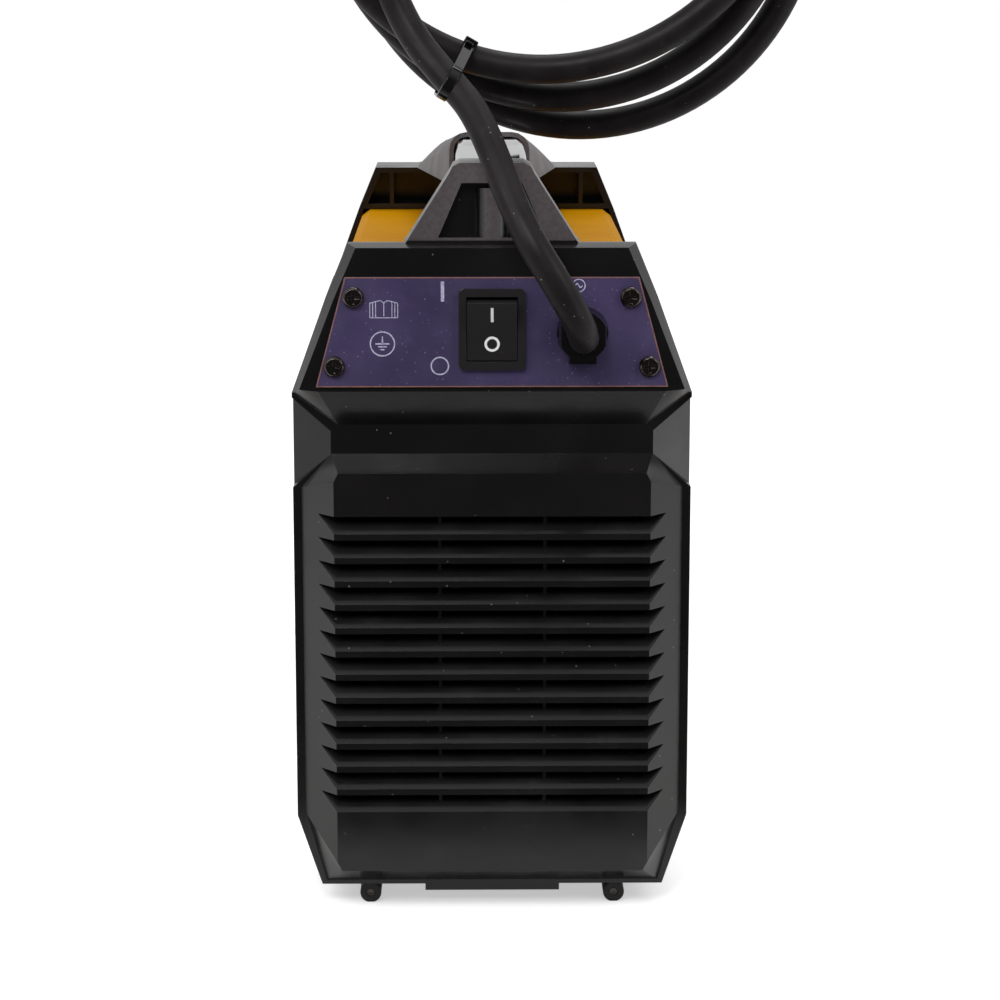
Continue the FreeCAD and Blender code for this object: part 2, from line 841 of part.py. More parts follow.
def window_outline(slack):
    half = f"window_width / 2 + {slack}"
    tall = f"window_height / 2 + {slack}"
    return oblong((f"0 - window_place - ({half})", f"0 - window_place + ({half})"),
                  (f"window_line - ({tall})", f"window_line + ({tall})"))


def make_front_frame():
    frame = end_frame("front_frame", front_out, False, "front_frame_depth", "front_slats")
    start = front_out("label_rise + overrun")
    through = "label_rise + frame_wall + 2 * overrun"
    layer(frame, "Pocket", "shaft_hole", start, through, False,
          [circle("knob_place", "knob_line", "shaft_radius + running_fit")])
    layer(frame, "Pocket", "window_hole", start, through, False, [window_outline("seat_gap")])
    layer(frame, "Pocket", "lamp_holes", start, through, False,
          [circle(x, "lamp_line", "lamp_radius + seat_gap") for x in lamp_places()])
    layer(frame, "Pocket", "socket_holes", front_out("face_bevel + overrun"),
          "face_bevel + frame_wall + 2 * overrun", False,
          [circle(f"{side}{SOCKET}", "socket_height", "socket_barrel + seat_gap")
           for side in ("", "0 - ")])
    arm_holes = [circle(f"{side}arm_screw_place", front_out("0 - front_frame_depth / 2"),
                        "screw_shank + screw_fit") for side in ("", "0 - ")]
    column(frame, "Pocket", "arm_holes", "case_top - frame_wall - overrun",
           "frame_wall + 2 * overrun", arm_holes)
    node(frame, "front_frame")


# Cover and tray

def cover_half(depth):
    """Right half of the cover's section, depth in from the case outline."""
    lean = "(case_width - shoulder_width) / 2 / shoulder_drop"
    crest = f"shoulder_height + frame_wall - ({depth})"
    return [
        (f"{SIDE} - ({depth})", "heel_height"),
        (f"{SIDE} - ({depth})", FLANK),
        (f"{SHOULDER} - ({depth}) + cover_bend * {lean}", f"{crest} - cover_bend"),
        (f"{SHOULDER} - ({depth}) - cover_bend", crest),
    ]


SIDE_SCREW_ROWS = ["(0 - side_screw_gap)", "0", "side_screw_gap"]
FRAME_SCREW_ROWS = [f"({REAR_RIM} - frame_screw_reach)", f"({FRONT_RIM} + frame_screw_reach)"]


def make_top_cover():
    cover = part_body("top_cover")
    outer = cover_half("frame_wall + cover_fit")
    inner = cover_half("frame_wall + cover_fit + sheet_gauge")
    start = f"{REAR_RIM} - cover_reach"
    layer(cover, "Pad", "folded_sheet", start, f"{FRONT_RIM} - ({REAR_RIM}) + 2 * cover_reach",
          True, [band(outer, inner)])
    drill_sides(cover, "side_holes", [(y, "side_screw_height") for y in SIDE_SCREW_ROWS])
    drill_sides(cover, "frame_holes", [(y, "frame_screw_height") for y in FRAME_SCREW_ROWS])
    node(cover, "top_cover")


def tray_half(depth):
    """Right half of the tray's section, from the top of its flange down."""
    wall = f"{SIDE} - frame_wall - cover_fit - sheet_gauge - ({depth})"
    return [
        (wall, "tray_flange"),
        (wall, "heel_height"),
        (f"{SOLE} - frame_wall - cover_fit - ({depth})", f"{TRAY_FLOOR} + ({depth})"),
    ]


def make_base_tray():
    tray = part_body("base_tray")
    start = f"{REAR_OUTLINE} + corner_depth + cover_fit"
    length = f"{FRONT_OUTLINE} - ({REAR_OUTLINE}) - 2 * corner_depth - 2 * cover_fit"
    layer(tray, "Pad", "folded_sheet", start, length, True,
          [band(tray_half("0"), tray_half("sheet_gauge"))])
    drill_sides(tray, "side_holes", [(y, "side_screw_height") for y in SIDE_SCREW_ROWS])
    base_holes = [circle(f"{side}base_screw_place", y, "screw_shank + screw_fit")
                  for side in ("", "0 - ")
                  for y in (rear_out("0 - base_screw_setback"), front_out("0 - base_screw_setback"))]
    column(tray, "Pocket", "base_holes", f"{TRAY_FLOOR} - overrun", "sheet_gauge + 2 * overrun",
           base_holes)
    node(tray, "base_tray")


# Screws

def screw(name, x, y, z, heading, length="screw_length"):
    """A pan-head screw with a cross recess; its seat is at x, y, z and its head looks along heading."""
    made = part_body(name)
    profile = [
        ("0", f"0 - {length}"),
        ("screw_shank", f"0 - {length}"),
        ("screw_shank", "0"),
        ("screw_head", "0"),
        ("screw_head", "screw_head_height / 2"),
        ("screw_crown", "screw_head_height"),
        ("0", "screw_head_height"),
    ]
    drawing = sketch(made, name + "_profile", "XZ_Plane", "0", [profile])
    turned = made.newObject("PartDesign::Revolution", name + "_turned")
    turned.Profile = drawing
    turned.ReferenceAxis = (drawing, ["V_Axis"])
    turned.Angle = 360
    arm, slot = "recess_arm", "recess_slot / 2"
    right = [(slot, f"0 - {arm}"), (slot, f"0 - {slot}"), (arm, f"0 - {slot}"),
             (arm, slot), (slot, slot), (slot, arm)]
    cross = mirrored(right)
    column(made, "Pocket", name + "_recess", "screw_head_height - screw_recess",
           "screw_recess + overrun", [cross])
    return put(made, x, y, z, heading)


def make_label_screws(name, plane, heading):
    pieces = [screw(f"{name}_{number}", x, plane, z, heading)
              for number, (x, z) in enumerate(label_screw_places(), 1)]
    node(group(name, pieces), name)


def make_case_screws():
    for name, wall, rows, height in (
            ("cover_screws", f"{SIDE} - frame_wall - cover_fit", SIDE_SCREW_ROWS,
             "side_screw_height"),
            ("frame_screws", SIDE, FRAME_SCREW_ROWS, "frame_screw_height")):
        pieces = []
        for number, y in enumerate(rows, 1):
            pieces.append(screw(f"{name}_right_{number}", wall, y, height, "x"))
            pieces.append(screw(f"{name}_left_{number}", f"0 - ({wall})", y, height, "-x"))
        node(group(name, pieces), name)
    pieces = []
    for end, y in (("rear", rear_out("0 - base_screw_setback")),
                   ("front", front_out("0 - base_screw_setback"))):
        for side, word in (("", "right"), ("0 - ", "left")):
            pieces.append(screw(f"base_screw_{end}_{word}", f"{side}base_screw_place", y,
                                "foot_height", "-z"))
    node(group("base_screws", pieces), "base_screws")
    pieces = [screw(f"arm_screw_{word}", f"{side}arm_screw_place",
                    front_out("0 - front_frame_depth / 2"), "case_top - frame_wall", "-z")
              for side, word in (("", "right"), ("0 - ", "left"))]
    node(group("arm_screws", pieces), "arm_screws")


# Feet: rubber rounds under both frames, held by a screw in the outer end

def make_feet():
    feet = []
    screws = []
    middle = "foot_height / 2"
    for end, outward, inward in (("rear", rear_out, "y"), ("front", front_out, "-y")):
        face = outward("0 - foot_setback")
        back = outward("0 - foot_setback - foot_length")
        low, high = (face, back) if end == "rear" else (back, face)
        for side, word in (("", "right"), ("0 - ", "left")):
            x = f"{side}foot_place"
            label = f"{end}_{word}"
            round_bar = rod(f"foot_bar_{label}", inward, "foot_radius", "foot_length",
                            x, face, middle)
            slab = block(f"foot_slab_{label}", (f"{x} - foot_radius", f"{x} + foot_radius"),
                         (low, high), ("0", "foot_height"))
            flat = doc.addObject("Part::Common", f"foot_flat_{label}")
            flat.Base = round_bar
            flat.Tool = slab
            bore = rod(f"foot_bore_{label}", inward, "foot_screw_radius + screw_fit",
                       "foot_screw_length + overrun", x, face, middle)
            feet.append(cut(f"foot_{label}", flat, bore))
            start = outward("0 - foot_setback - foot_screw_recess / 2")
            bolt = rod(f"foot_bolt_{label}", inward, "foot_screw_radius", "foot_screw_length",
                       x, start, middle)
            well = rod(f"foot_well_{label}", inward, "foot_screw_recess", "foot_screw_recess",
                       x, start, middle)
            screws.append(cut(f"foot_screw_{label}", bolt, well))
    node(group("feet", feet), "feet")
    node(group("foot_screws", screws), "foot_screws")


# Handle

def grip_outline(slack):
    """The grip's section, widened all round by the slack."""
    half = f"grip_width / 2 + {slack}"
    right = [
        ("grip_width / 2 - grip_corner", f"{GRIP_TOP} - grip_height - {slack}"),
        (half, f"{GRIP_TOP} - grip_height + grip_corner"),
        (half, f"{GRIP_TOP} - grip_corner"),
        (f"{half} - grip_corner / 3", f"{GRIP_TOP} - grip_corner / 3 + {slack}"),
        ("grip_width / 2 - grip_corner", f"{GRIP_TOP} + {slack}"),
    ]
    return mirrored(right)


def crown_outline(rise):
    """The grip's upper part, raised under the palm."""
    right = [
        ("grip_width / 2", f"{GRIP_TOP} - 2 * grip_corner"),
        ("grip_width / 2", f"{GRIP_TOP} - grip_corner + {rise} / 2"),
        ("grip_width / 2 - grip_corner / 3", f"{GRIP_TOP} - grip_corner / 3 + {rise} * 4 / 5"),
        ("grip_width / 2 - grip_corner", f"{GRIP_TOP} + {rise}"),
    ]
    return mirrored(right)


def grip_channel():
    """The hollow in the grip, open below for the underside strip."""
    right = [
        ("underside_slot / 2", f"{GRIP_TOP} - grip_height - overrun"),
        ("underside_slot / 2", f"{GRIP_TOP} - grip_height + grip_wall"),
        ("grip_width / 2 - grip_wall", f"{GRIP_TOP} - grip_height + grip_wall"),
        ("grip_width / 2 - grip_wall", f"{GRIP_TOP} - grip_wall - grip_corner"),
        ("grip_width / 2 - grip_wall - grip_corner", f"{GRIP_TOP} - grip_wall"),
    ]
    return mirrored(right)


def underside_outline():
    """A T-shaped strip that closes the grip from below."""
    floor = f"{GRIP_TOP} - grip_height"
    right = [
        ("underside_slot / 2 - seat_gap", floor),
        ("underside_slot / 2 - seat_gap", f"{floor} + grip_wall"),
        ("grip_width / 2 - grip_wall - seat_gap", f"{floor} + grip_wall"),
        ("grip_width / 2 - grip_wall - seat_gap", f"{floor} + 2 * grip_wall"),
    ]
    return mirrored(right)


COLLAR_STEPS = 4
# How far up the arm's flank each point lies, inward and upward
ARM_FLANK_SHARES = ((0.2, 0.24), (0.4, 0.46), (0.6, 0.67), (0.8, 0.86), (1, 1))


def collar_outline(wall):
    """The collar's section, drawn in by its wall for the inside."""
    foot = "collar_foot - overrun" if wall != "0" else "collar_foot"
    right = [(f"collar_width / 2 - {wall}", foot)]
    for step in range(COLLAR_STEPS + 1):
        angle = math.pi / 2 * step / COLLAR_STEPS
        reach = f"(collar_corner - {wall}) * {math.cos(angle):.5f}"
        rise = f"(collar_corner - {wall}) * {math.sin(angle):.5f}"
        right.append((f"collar_width / 2 - collar_corner + {reach}",
                      f"collar_top - collar_corner + {rise}"))
    return mirrored(right)


def arm_outline(rise, wall):
    """The arm's section over the front frame's top, rise high."""
    foot = f"case_top - {wall} / 2" if wall != "0" else "case_top"
    right = [(f"arm_base / 2 - {wall}", foot)]
    for inward, upward in ARM_FLANK_SHARES:
        right.append((
            f"arm_base / 2 - {wall} - ((arm_base - arm_base_crown) / 2 - {wall} / 2) * {inward}",
            f"case_top + ({rise} - {wall}) * {upward}",
        ))
    return mirrored(right)


def make_handle():
    grip = part_body("handle_grip")
    length = f"{COLLAR} + grip_insert - {TOWER_FRONT}"
    layer(grip, "Pad", "shell", TOWER_FRONT, length, True, [grip_outline("0")])
    apex = f"{TOWER_FRONT} + grip_apex"
    bridge(grip, "AdditiveLoft", "crown_rear", "XZ_Plane",
           (f"0 - {TOWER_FRONT}", crown_outline("0")), (f"0 - ({apex})", crown_outline("grip_crown")))
    bridge(grip, "AdditiveLoft", "crown_front", "XZ_Plane",
           (f"0 - ({apex})", crown_outline("grip_crown")), (f"0 - {COLLAR}", crown_outline("0")))
    layer(grip, "Pocket", "channel", TOWER_FRONT, length, True, [grip_channel()])
    node(grip, "handle_grip")

    strip = part_body("handle_underside")
    layer(strip, "Pad", "strip", TOWER_FRONT, length, True, [underside_outline()])
    places = (f"{TOWER_FRONT} + handle_screw_place", f"{COLLAR} + grip_insert - handle_screw_place")
    column(strip, "Pocket", "strip_holes", f"{GRIP_TOP} - grip_height - overrun",
           "2 * grip_wall + 2 * overrun",
           [circle("0", y, "screw_shank + screw_fit") for y in places])
    node(strip, "handle_underside")
    screws = [screw(f"handle_screw_{number}", "0", y, f"{GRIP_TOP} - grip_height", "-z")
              for number, y in enumerate(places, 1)]
    node(group("handle_screws", screws), "handle_screws")

    arm = part_body("handle_front_arm")
    bridge(arm, "AdditiveLoft", "flare", "XZ_Plane",
           (f"0 - {COLLAR}", collar_outline("0")),
           (f"0 - {FRONT_RIM}", arm_outline("arm_base_rise", "0")))
    bridge(arm, "SubtractiveLoft", "flare_hollow", "XZ_Plane",
           (f"0 - {COLLAR} + overrun / 2", collar_outline("collar_wall")),
           (f"0 - ({FRONT_RIM} - arm_wall)", arm_outline("arm_base_rise", "arm_wall")))
    bridge(arm, "AdditiveLoft", "toe", "XZ_Plane",
           (f"0 - {FRONT_RIM}", arm_outline("arm_base_rise", "0")),
           (f"0 - {FRONT_OUTLINE}", arm_outline("arm_toe_rise", "0")))
    seat = mirrored([
        ("collar_width / 2 - collar_wall / 2", "collar_foot + overrun / 2"),
        ("collar_width / 2 - collar_wall / 2", "collar_top - collar_corner"),
        ("collar_width / 2 - collar_corner", "collar_top - collar_wall"),
    ])
    layer(arm, "Pad", "seat_wall", f"{COLLAR} + grip_insert", "bulkhead", True, [seat])
    layer(arm, "Pocket", "grip_seat", f"{COLLAR} - overrun", "overrun + grip_insert", True,
          [grip_outline("seat_gap")])
    column(arm, "Pocket", "arm_screw_holes", "case_top - overrun", "screw_length - frame_wall + overrun",
           [circle(f"{side}arm_screw_place", front_out("0 - front_frame_depth / 2"),
                   "screw_shank + screw_fit") for side in ("", "0 - ")])
    node(arm, "handle_front_arm")


# Label plates

def label_plate(name, plane, ahead, openings):
    plate = part_body(name)
    outline = mirrored([("label_base_half", "label_base"), ("label_top_half", "label_top")])
    holes = [circle(x, z, "screw_shank + screw_fit") for x, z in label_screw_places()]
    layer(plate, "Pad", "plate", plane, "label_gauge", ahead, [outline] + holes + openings)
    node(plate, name)


def make_label_plates():
    slot = oblong(("0 - switch_width / 2 - seat_gap", "switch_width / 2 + seat_gap"),
                  ("switch_height - switch_tall / 2 - seat_gap",
                   "switch_height + switch_tall / 2 + seat_gap"))
    relief = circle("relief_place", "relief_height", "relief_barrel + seat_gap")
    label_plate("rear_label_plate", REAR_LABEL, False, [slot, relief])
    shaft = circle("knob_place", "knob_line", "shaft_radius + running_fit")
    lamps = [circle(x, "lamp_line", "lamp_radius + seat_gap") for x in lamp_places()]
    label_plate("front_label_plate", FRONT_LABEL, True, [shaft, window_outline("seat_gap")] + lamps)


# Rocker switch

def make_switch():
    face = BEZEL_FACE
    seat = f"{REAR_LABEL} - label_gauge"
    half = "switch_tall / 2"
    bezel = block("switch_bezel", ("0 - bezel_width / 2", "bezel_width / 2"), (face, seat),
                  ("switch_height - bezel_height / 2", "switch_height + bezel_height / 2"))
    barrel = block("switch_barrel", ("0 - switch_width / 2", "switch_width / 2"),
                   (face, f"{face} + switch_depth"),
                   (f"switch_height - {half}", f"switch_height + {half}"))
    reach = "rocker_width / 2 + rocker_gap"
    sweep = "rocker_sweep_radius + rocker_gap"
    well = block("switch_well", (f"0 - ({reach})", reach),
                 (f"{face} - overrun", f"{face} + rocker_well"),
                 (f"switch_height - ({sweep})", f"switch_height + ({sweep})"))
    pivot = f"rocker_width + 2 * rocker_gap + 2 * pivot_length"
    hole = rod("switch_pivot_hole", "x", "pivot_radius + running_fit", pivot,
               f"0 - ({pivot}) / 2", f"{face} + pivot_depth", "switch_height")
    node(cut("switch_housing", joined("switch_shell", [bezel, barrel]), well, hole),
         "switch_housing")

    rocker = part_body("switch_rocker")
    end, back = "rocker_end_angle", "rocker_back_angle"
    radius = "rocker_sweep_radius"
    top = [
        (f"0 - {radius} * sin({end} * 1)", f"{radius} * cos({end} * 1)"),
        (f"{radius} * sin({back} * 1)", f"{radius} * cos({back} * 1)"),
    ]
    bottom = [(u, f"0 - {v}") for u, v in reversed(top)]
    drawing = sketch(rocker, "rocker_side", "YZ_Plane", "0 - rocker_width / 2",
                     [top + bottom + [("0 - rocker_dip", "0")]])
    key = rocker.newObject("PartDesign::Pad", "rocker_key")
    key.Profile = drawing
    key.setExpression("Length", linked("rocker_width"))
    span = "rocker_width + rocker_gap + pivot_length"
    pins = sketch(rocker, "rocker_pins", "YZ_Plane", f"0 - ({span}) / 2",
                  [circle("0", "0", "pivot_radius")])
    axle = rocker.newObject("PartDesign::Pad", "rocker_axle")
    axle.Profile = pins
    axle.setExpression("Length", linked(span))
    put(rocker, "0", f"{face} + pivot_depth", "switch_height")
    tilt = FreeCAD.Rotation(FreeCAD.Vector(1, 0, 0), value("rocker_travel / 2"))
    rocker.Placement = FreeCAD.Placement(rocker.Placement.Base, tilt)
    node(rocker, "switch_rocker")

    blades = []
    back_face = f"{face} + switch_depth"
    for x in (-1, 1):
        for z in (-1, 0, 1):
            centre_x = f"{x} * blade_pitch / 2"
            centre_z = f"switch_height + {z} * blade_pitch"
            blades.append(block(f"switch_blade_{x + 2}_{z + 2}",
                                (f"{centre_x} - blade_gauge / 2", f"{centre_x} + blade_gauge / 2"),
                                (back_face, f"{back_face} + blade_length"),
                                (f"{centre_z} - blade_width / 2", f"{centre_z} + blade_width / 2")))
    node(group("switch_terminals", blades), "switch_terminals")


# Strain relief and its nut

def make_strain_relief():
    seat = f"{REAR_LABEL} - label_gauge"
    head = rod("relief_head", "-y", "relief_radius", "relief_length", "relief_place", seat,
               "relief_height")
    flats = block("relief_flats",
                  ("relief_place - relief_flat", "relief_place + relief_flat"),
                  (f"{seat} - relief_length", seat),
                  ("relief_height - relief_radius", "relief_height + relief_radius"))
    sided = doc.addObject("Part::Common", "relief_sided")
    sided.Base = head
    sided.Tool = flats
    barrel = rod("relief_barrel_rod", "y", "relief_barrel", "relief_depth", "relief_place",
                 f"{seat} - overrun", "relief_height")
    tongue = block("relief_tongue_block",
                   ("relief_place - relief_tongue", "relief_place + relief_tongue"),
                   (f"{seat} - relief_length * 2 / 3", seat),
                   ("relief_height - relief_tongue_drop", "relief_height - relief_radius / 2"))
    node(joined("strain_relief", [sided, barrel, tongue]), "strain_relief")

    nut = part_body("strain_relief_nut")
    start = f"{REAR_LABEL} + frame_wall"
    corners = [(f"relief_place + relief_nut_radius * cos({60 * step})",
                f"relief_height + relief_nut_radius * sin({60 * step})") for step in range(6)]
    layer(nut, "Pad", "hexagon", start, "relief_nut_height", True,
          [corners, circle("relief_place", "relief_height", "relief_barrel + running_fit")])
    node(nut, "strain_relief_nut")


# Fan

def make_fan():
    start = f"{REAR_OUTLINE} + frame_wall"
    half = FAN_HALF
    low, high = f"fan_height - {half}", f"fan_height + {half}"
    frame = part_body("fan_frame")
    right = [(f"{half} - fan_corner", low), (half, f"{low} + fan_corner"),
             (half, f"{high} - fan_corner"), (f"{half} - fan_corner", high)]
    places = [(f"{x}{FAN_SCREW}", f"fan_height {z} {FAN_SCREW}")
              for x in ("", "0 - ") for z in ("+", "-")]
    holes = [circle(x, z, "screw_shank + screw_fit") for x, z in places]
    layer(frame, "Pad", "ring", start, "fan_depth", True,
          [mirrored(right), circle("0", "fan_height", FAN_THROAT)] + holes)
    base = f"{start} + fan_depth - fan_base_gauge"
    reach = f"{FAN_THROAT} + overrun"
    for word, x, z in (("across", reach, "fan_strut / 2"), ("upright", "fan_strut / 2", reach)):
        bar = oblong((f"0 - ({x})", x), (f"fan_height - ({z})", f"fan_height + ({z})"))
        layer(frame, "Pad", "strut_" + word, base, "fan_base_gauge", True, [bar])
    layer(frame, "Pad", "motor_plate", base, "fan_base_gauge", True,
          [circle("0", "fan_height", "fan_hub")])
    layer(frame, "Pocket", "bearing", f"{base} - overrun", "fan_base_gauge + 2 * overrun", True,
          [circle("0", "fan_height", "fan_shaft + running_fit")])
    node(frame, "fan_frame")

    rotor = part_body("fan_rotor")
    hub_start = "fan_gap"
    hub_length = "fan_depth - fan_base_gauge - 2 * fan_gap"
    layer(rotor, "Pad", "hub", hub_start, hub_length, True, [circle("0", "0", "fan_hub")])
    layer(rotor, "Pad", "shaft", f"{hub_start} + {hub_length} - overrun",
          "overrun + fan_gap + fan_base_gauge", True, [circle("0", "0", "fan_shaft")])
    middle = "(fan_depth - fan_base_gauge) / 2"
    slope_y, slope_z = "fan_blade_rise / 2", "fan_blade_chord / 2"
    blade = [
        (f"{middle} - {slope_y}", f"0 - {slope_z} - fan_blade_gauge / 2"),
        (f"{middle} + {slope_y}", f"{slope_z} - fan_blade_gauge / 2"),
        (f"{middle} + {slope_y}", f"{slope_z} + fan_blade_gauge / 2"),
        (f"{middle} - {slope_y}", f"0 - {slope_z} + fan_blade_gauge / 2"),
    ]
    drawing = sketch(rotor, "blade_side", "YZ_Plane", "fan_hub - overrun", [blade])
    fin = rotor.newObject("PartDesign::Pad", "blade")
    fin.Profile = drawing
    fin.setExpression("Length", linked(f"{FAN_THROAT} - fan_tip_gap - fan_hub + overrun"))
    repeat_round(rotor, "blades", fin, "Y_Axis", "fan_blades")
    put(rotor, "0", start, "fan_height")
    node(rotor, "fan_rotor")

    seat = f"{start} + fan_depth"
    screws = [screw(f"fan_screw_{number}", x, seat, z, "y", "fan_depth + frame_wall")
              for number, (x, z) in enumerate(places, 1)]
    node(group("fan_screws", screws), "fan_screws")
    return places


# Main board and what stands on it

def make_main_board():
    edge = f"({SIDE} - board_inset)"
    node(block("main_board", (f"0 - {edge}", edge), ("0 - board_rear", "board_front"),
               (BOARD_FOOT, BOARD_TOP)), "main_board")
    posts = []
    for x in (-1, 1):
        for y in (-1, 0, 1):
            centre_x = f"{x} * ({SOLE} - standoff_inset)"
            centre_y = f"{y} * (board_front - standoff_setback)"
            posts.append(rod(f"standoff_{x + 2}_{y + 2}", "z", "standoff_radius", "board_height",
                             centre_x, centre_y, TRAY_TOP))
    node(group("board_standoffs", posts), "board_standoffs")
    cans = [rod(f"capacitor_{step + 2}", "z", "capacitor_radius", "capacitor_height",
                f"{step} * capacitor_pitch", "0 - capacitor_place", BOARD_TOP)
            for step in (-1, 0, 1)]
    node(group("bulk_capacitors", cans), "bulk_capacitors")
    reach = "bridge_size / 2"
    node(block("rectifier_bridge", (f"0 - bridge_place - {reach}", f"0 - bridge_place + {reach}"),
               (f"0 - part_row - {reach}", f"0 - part_row + {reach}"),
               (BOARD_TOP, f"{BOARD_TOP} + bridge_height")), "rectifier_bridge")
    node(block("soft_start_relay",
               ("bridge_place - relay_width / 2", "bridge_place + relay_width / 2"),
               ("0 - part_row - relay_length / 2", "0 - part_row + relay_length / 2"),
               (BOARD_TOP, f"{BOARD_TOP} + relay_height")), "soft_start_relay")


def heatsink(name, side):
    """Finned aluminium along the air flow; its flat back looks at the middle."""
    sink = part_body(name)
    inner = f"{side}sink_inner"
    spine = oblong((inner, f"{side}(sink_inner + sink_back)"),
                   (BOARD_TOP, f"{BOARD_TOP} + sink_height"))
    layer(sink, "Pad", "back", "0 - sink_length / 2", "sink_length", True, [spine])
    fin = oblong((f"{side}(sink_inner + sink_back - overrun)", f"{side}(sink_inner + sink_width)"),
                 (f"{BOARD_TOP} + sink_height - sink_fin", f"{BOARD_TOP} + sink_height"))
    blade = layer(sink, "Pad", "fin", "0 - sink_length / 2", "sink_length", True, [fin])
    repeat_down(sink, "fins", blade, blade.Profile[0],
                "(sink_height - sink_fin) / (sink_fins - 1)", "sink_fins")
    node(sink, name)


def device_row(name, side):
    """Flat power devices clamped to a heatsink's back."""
    devices = []
    for step in range(SIZES["device_count"]):
        centre = f"({step} - (device_count - 1) / 2) * device_pitch"
        near, far = "sink_inner - device_gauge", "sink_inner"
        span = (near, far) if side == "" else (f"0 - {far}", f"0 - ({near})")
        devices.append(block(f"{name}_{step + 1}", span,
                             (f"{centre} - device_width / 2", f"{centre} + device_width / 2"),
                             (f"{BOARD_TOP} + device_lift",
                              f"{BOARD_TOP} + device_lift + device_height")))
    node(group(name, devices), name)


def make_power_stage():
    heatsink("inverter_heatsink", "0 - ")
    device_row("power_transistors", "0 - ")
    heatsink("output_heatsink", "")
    device_row("output_diodes", "")


def make_transformer():
    """A standing frame core with its winding round both legs' window."""
    left, right = "0 - core_offset - core_width / 2", "0 - core_offset + core_width / 2"
    rear, front = "core_place - core_length / 2", "core_place + core_length / 2"
    top = f"{BOARD_TOP} + core_height"
    whole = block("core_block", (left, right), (rear, front), (BOARD_TOP, top))
    windows = []
    for word, low, high in (
            ("left", f"{left} + core_leg / 2", "0 - core_offset - core_leg / 2"),
            ("right", "0 - core_offset + core_leg / 2", f"{right} - core_leg / 2")):
        windows.append(block("core_window_" + word, (low, high),
                             (f"{rear} - overrun", f"{front} + overrun"),
                             (f"{BOARD_TOP} + core_yoke", f"{top} - core_yoke")))
    node(cut("transformer_core", whole, *windows), "transformer_core")
    gap = "winding_gap"
    outer = block("winding_block",
                  (f"{left} + core_leg / 2 + {gap}", f"{right} - core_leg / 2 - {gap}"),
                  (f"{rear} - winding_bulge", f"{front} + winding_bulge"),
                  (f"{BOARD_TOP} + core_yoke + {gap}", f"{top} - core_yoke - {gap}"))
    leg = block("winding_leg",
                (f"0 - core_offset - core_leg / 2 - {gap}", f"0 - core_offset + core_leg / 2 + {gap}"),
                (f"{rear} - {gap}", f"{front} + {gap}"), (BOARD_TOP, top))
    node(cut("transformer_winding", outer, leg), "transformer_winding")


def make_choke():
    """A ring core lying flat, with a winding over most of it."""
    coat = "(choke_coat + winding_gap)"
    foot = f"{BOARD_TOP} + {coat}"
    ring = rod("choke_ring", "z", "choke_radius", "choke_height", "choke_offset", "core_place", foot)
    bore = rod("choke_ring_bore", "z", "choke_bore", "choke_height + 2 * overrun",
               "choke_offset", "core_place", f"{foot} - overrun")
    node(cut("output_choke_core", ring, bore), "output_choke_core")
    winding = part_body("output_choke_winding")
    outside = oblong((f"choke_bore - {coat}", f"choke_radius + {coat}"),
                     (f"0 - {coat}", f"choke_height + {coat}"))
    inside = oblong(("choke_bore - winding_gap", "choke_radius + winding_gap"),
                    ("0 - winding_gap", "choke_height + winding_gap"))
    drawing = sketch(winding, "winding_section", "XZ_Plane", "0", [outside, inside])
    swept = winding.newObject("PartDesign::Revolution", "winding_swept")
    swept.Profile = drawing
    swept.ReferenceAxis = (drawing, ["V_Axis"])
    swept.setExpression("Angle", linked("choke_angle"))
    put(winding, "choke_offset", "core_place", foot)
    node(winding, "output_choke_winding")


# Output sockets, with the bores that take the welding cable plugs

def make_output(name, side):
    x = f"{side}{SOCKET}"
    z = "socket_height"
    face = FRONT_FACE
    flange = rod(f"{name}_flange", "y", "socket_flange", "socket_flange_gauge", x, face, z)
    nose = rod(f"{name}_nose", "y", "socket_nose", "socket_flange_gauge + socket_nose_length",
               x, face, z)
    barrel = rod(f"{name}_barrel", "-y", "socket_barrel", "socket_depth", x,
                 f"{face} + overrun", z)
    bore = rod(f"{name}_shell_bore", "y", "contact_radius + running_fit",
               "socket_depth + socket_flange_gauge + socket_nose_length + 2 * overrun", x,
               f"{face} - socket_depth - overrun", z)
    node(cut(f"{name}_socket", joined(f"{name}_shell", [flange, nose, barrel]), bore),
         f"{name}_socket")
    mouth = f"({face} + socket_flange_gauge)"
    floor = f"({mouth} - contact_bore_length)"
    sleeve = rod(f"{name}_sleeve", "-y", "contact_radius", "contact_bore_length + contact_floor",
                 x, mouth, z)
    stud = rod(f"{name}_stud", "-y", "stud_radius", "stud_length + overrun", x,
               f"{floor} - contact_floor + overrun", z)
    hollow = rod(f"{name}_bore", "y", "contact_bore", "contact_bore_length + overrun", x, floor, z)
    node(cut(f"{name}_contact", joined(f"{name}_blank", [sleeve, stud]), hollow), f"{name}_contact")

    strap = part_body(f"{name}_busbar")
    front = f"({floor} - contact_floor)"
    rear = "(core_place + core_length / 2 + winding_bulge + busbar_gap)"
    left, right = f"{x} - busbar_width / 2", f"{x} + busbar_width / 2"
    top = f"{z} + busbar_width / 2"
    layer(strap, "Pad", "upright", front, "busbar_gauge", False,
          [oblong((left, right), (f"{z} - busbar_width / 2", top)),
           circle(x, z, "stud_radius + seat_gap")])
    layer(strap, "Pad", "run", front, f"{front} - {rear}", False,
          [oblong((left, right), (f"{top} - busbar_gauge", top))])
    node(strap, f"{name}_busbar")


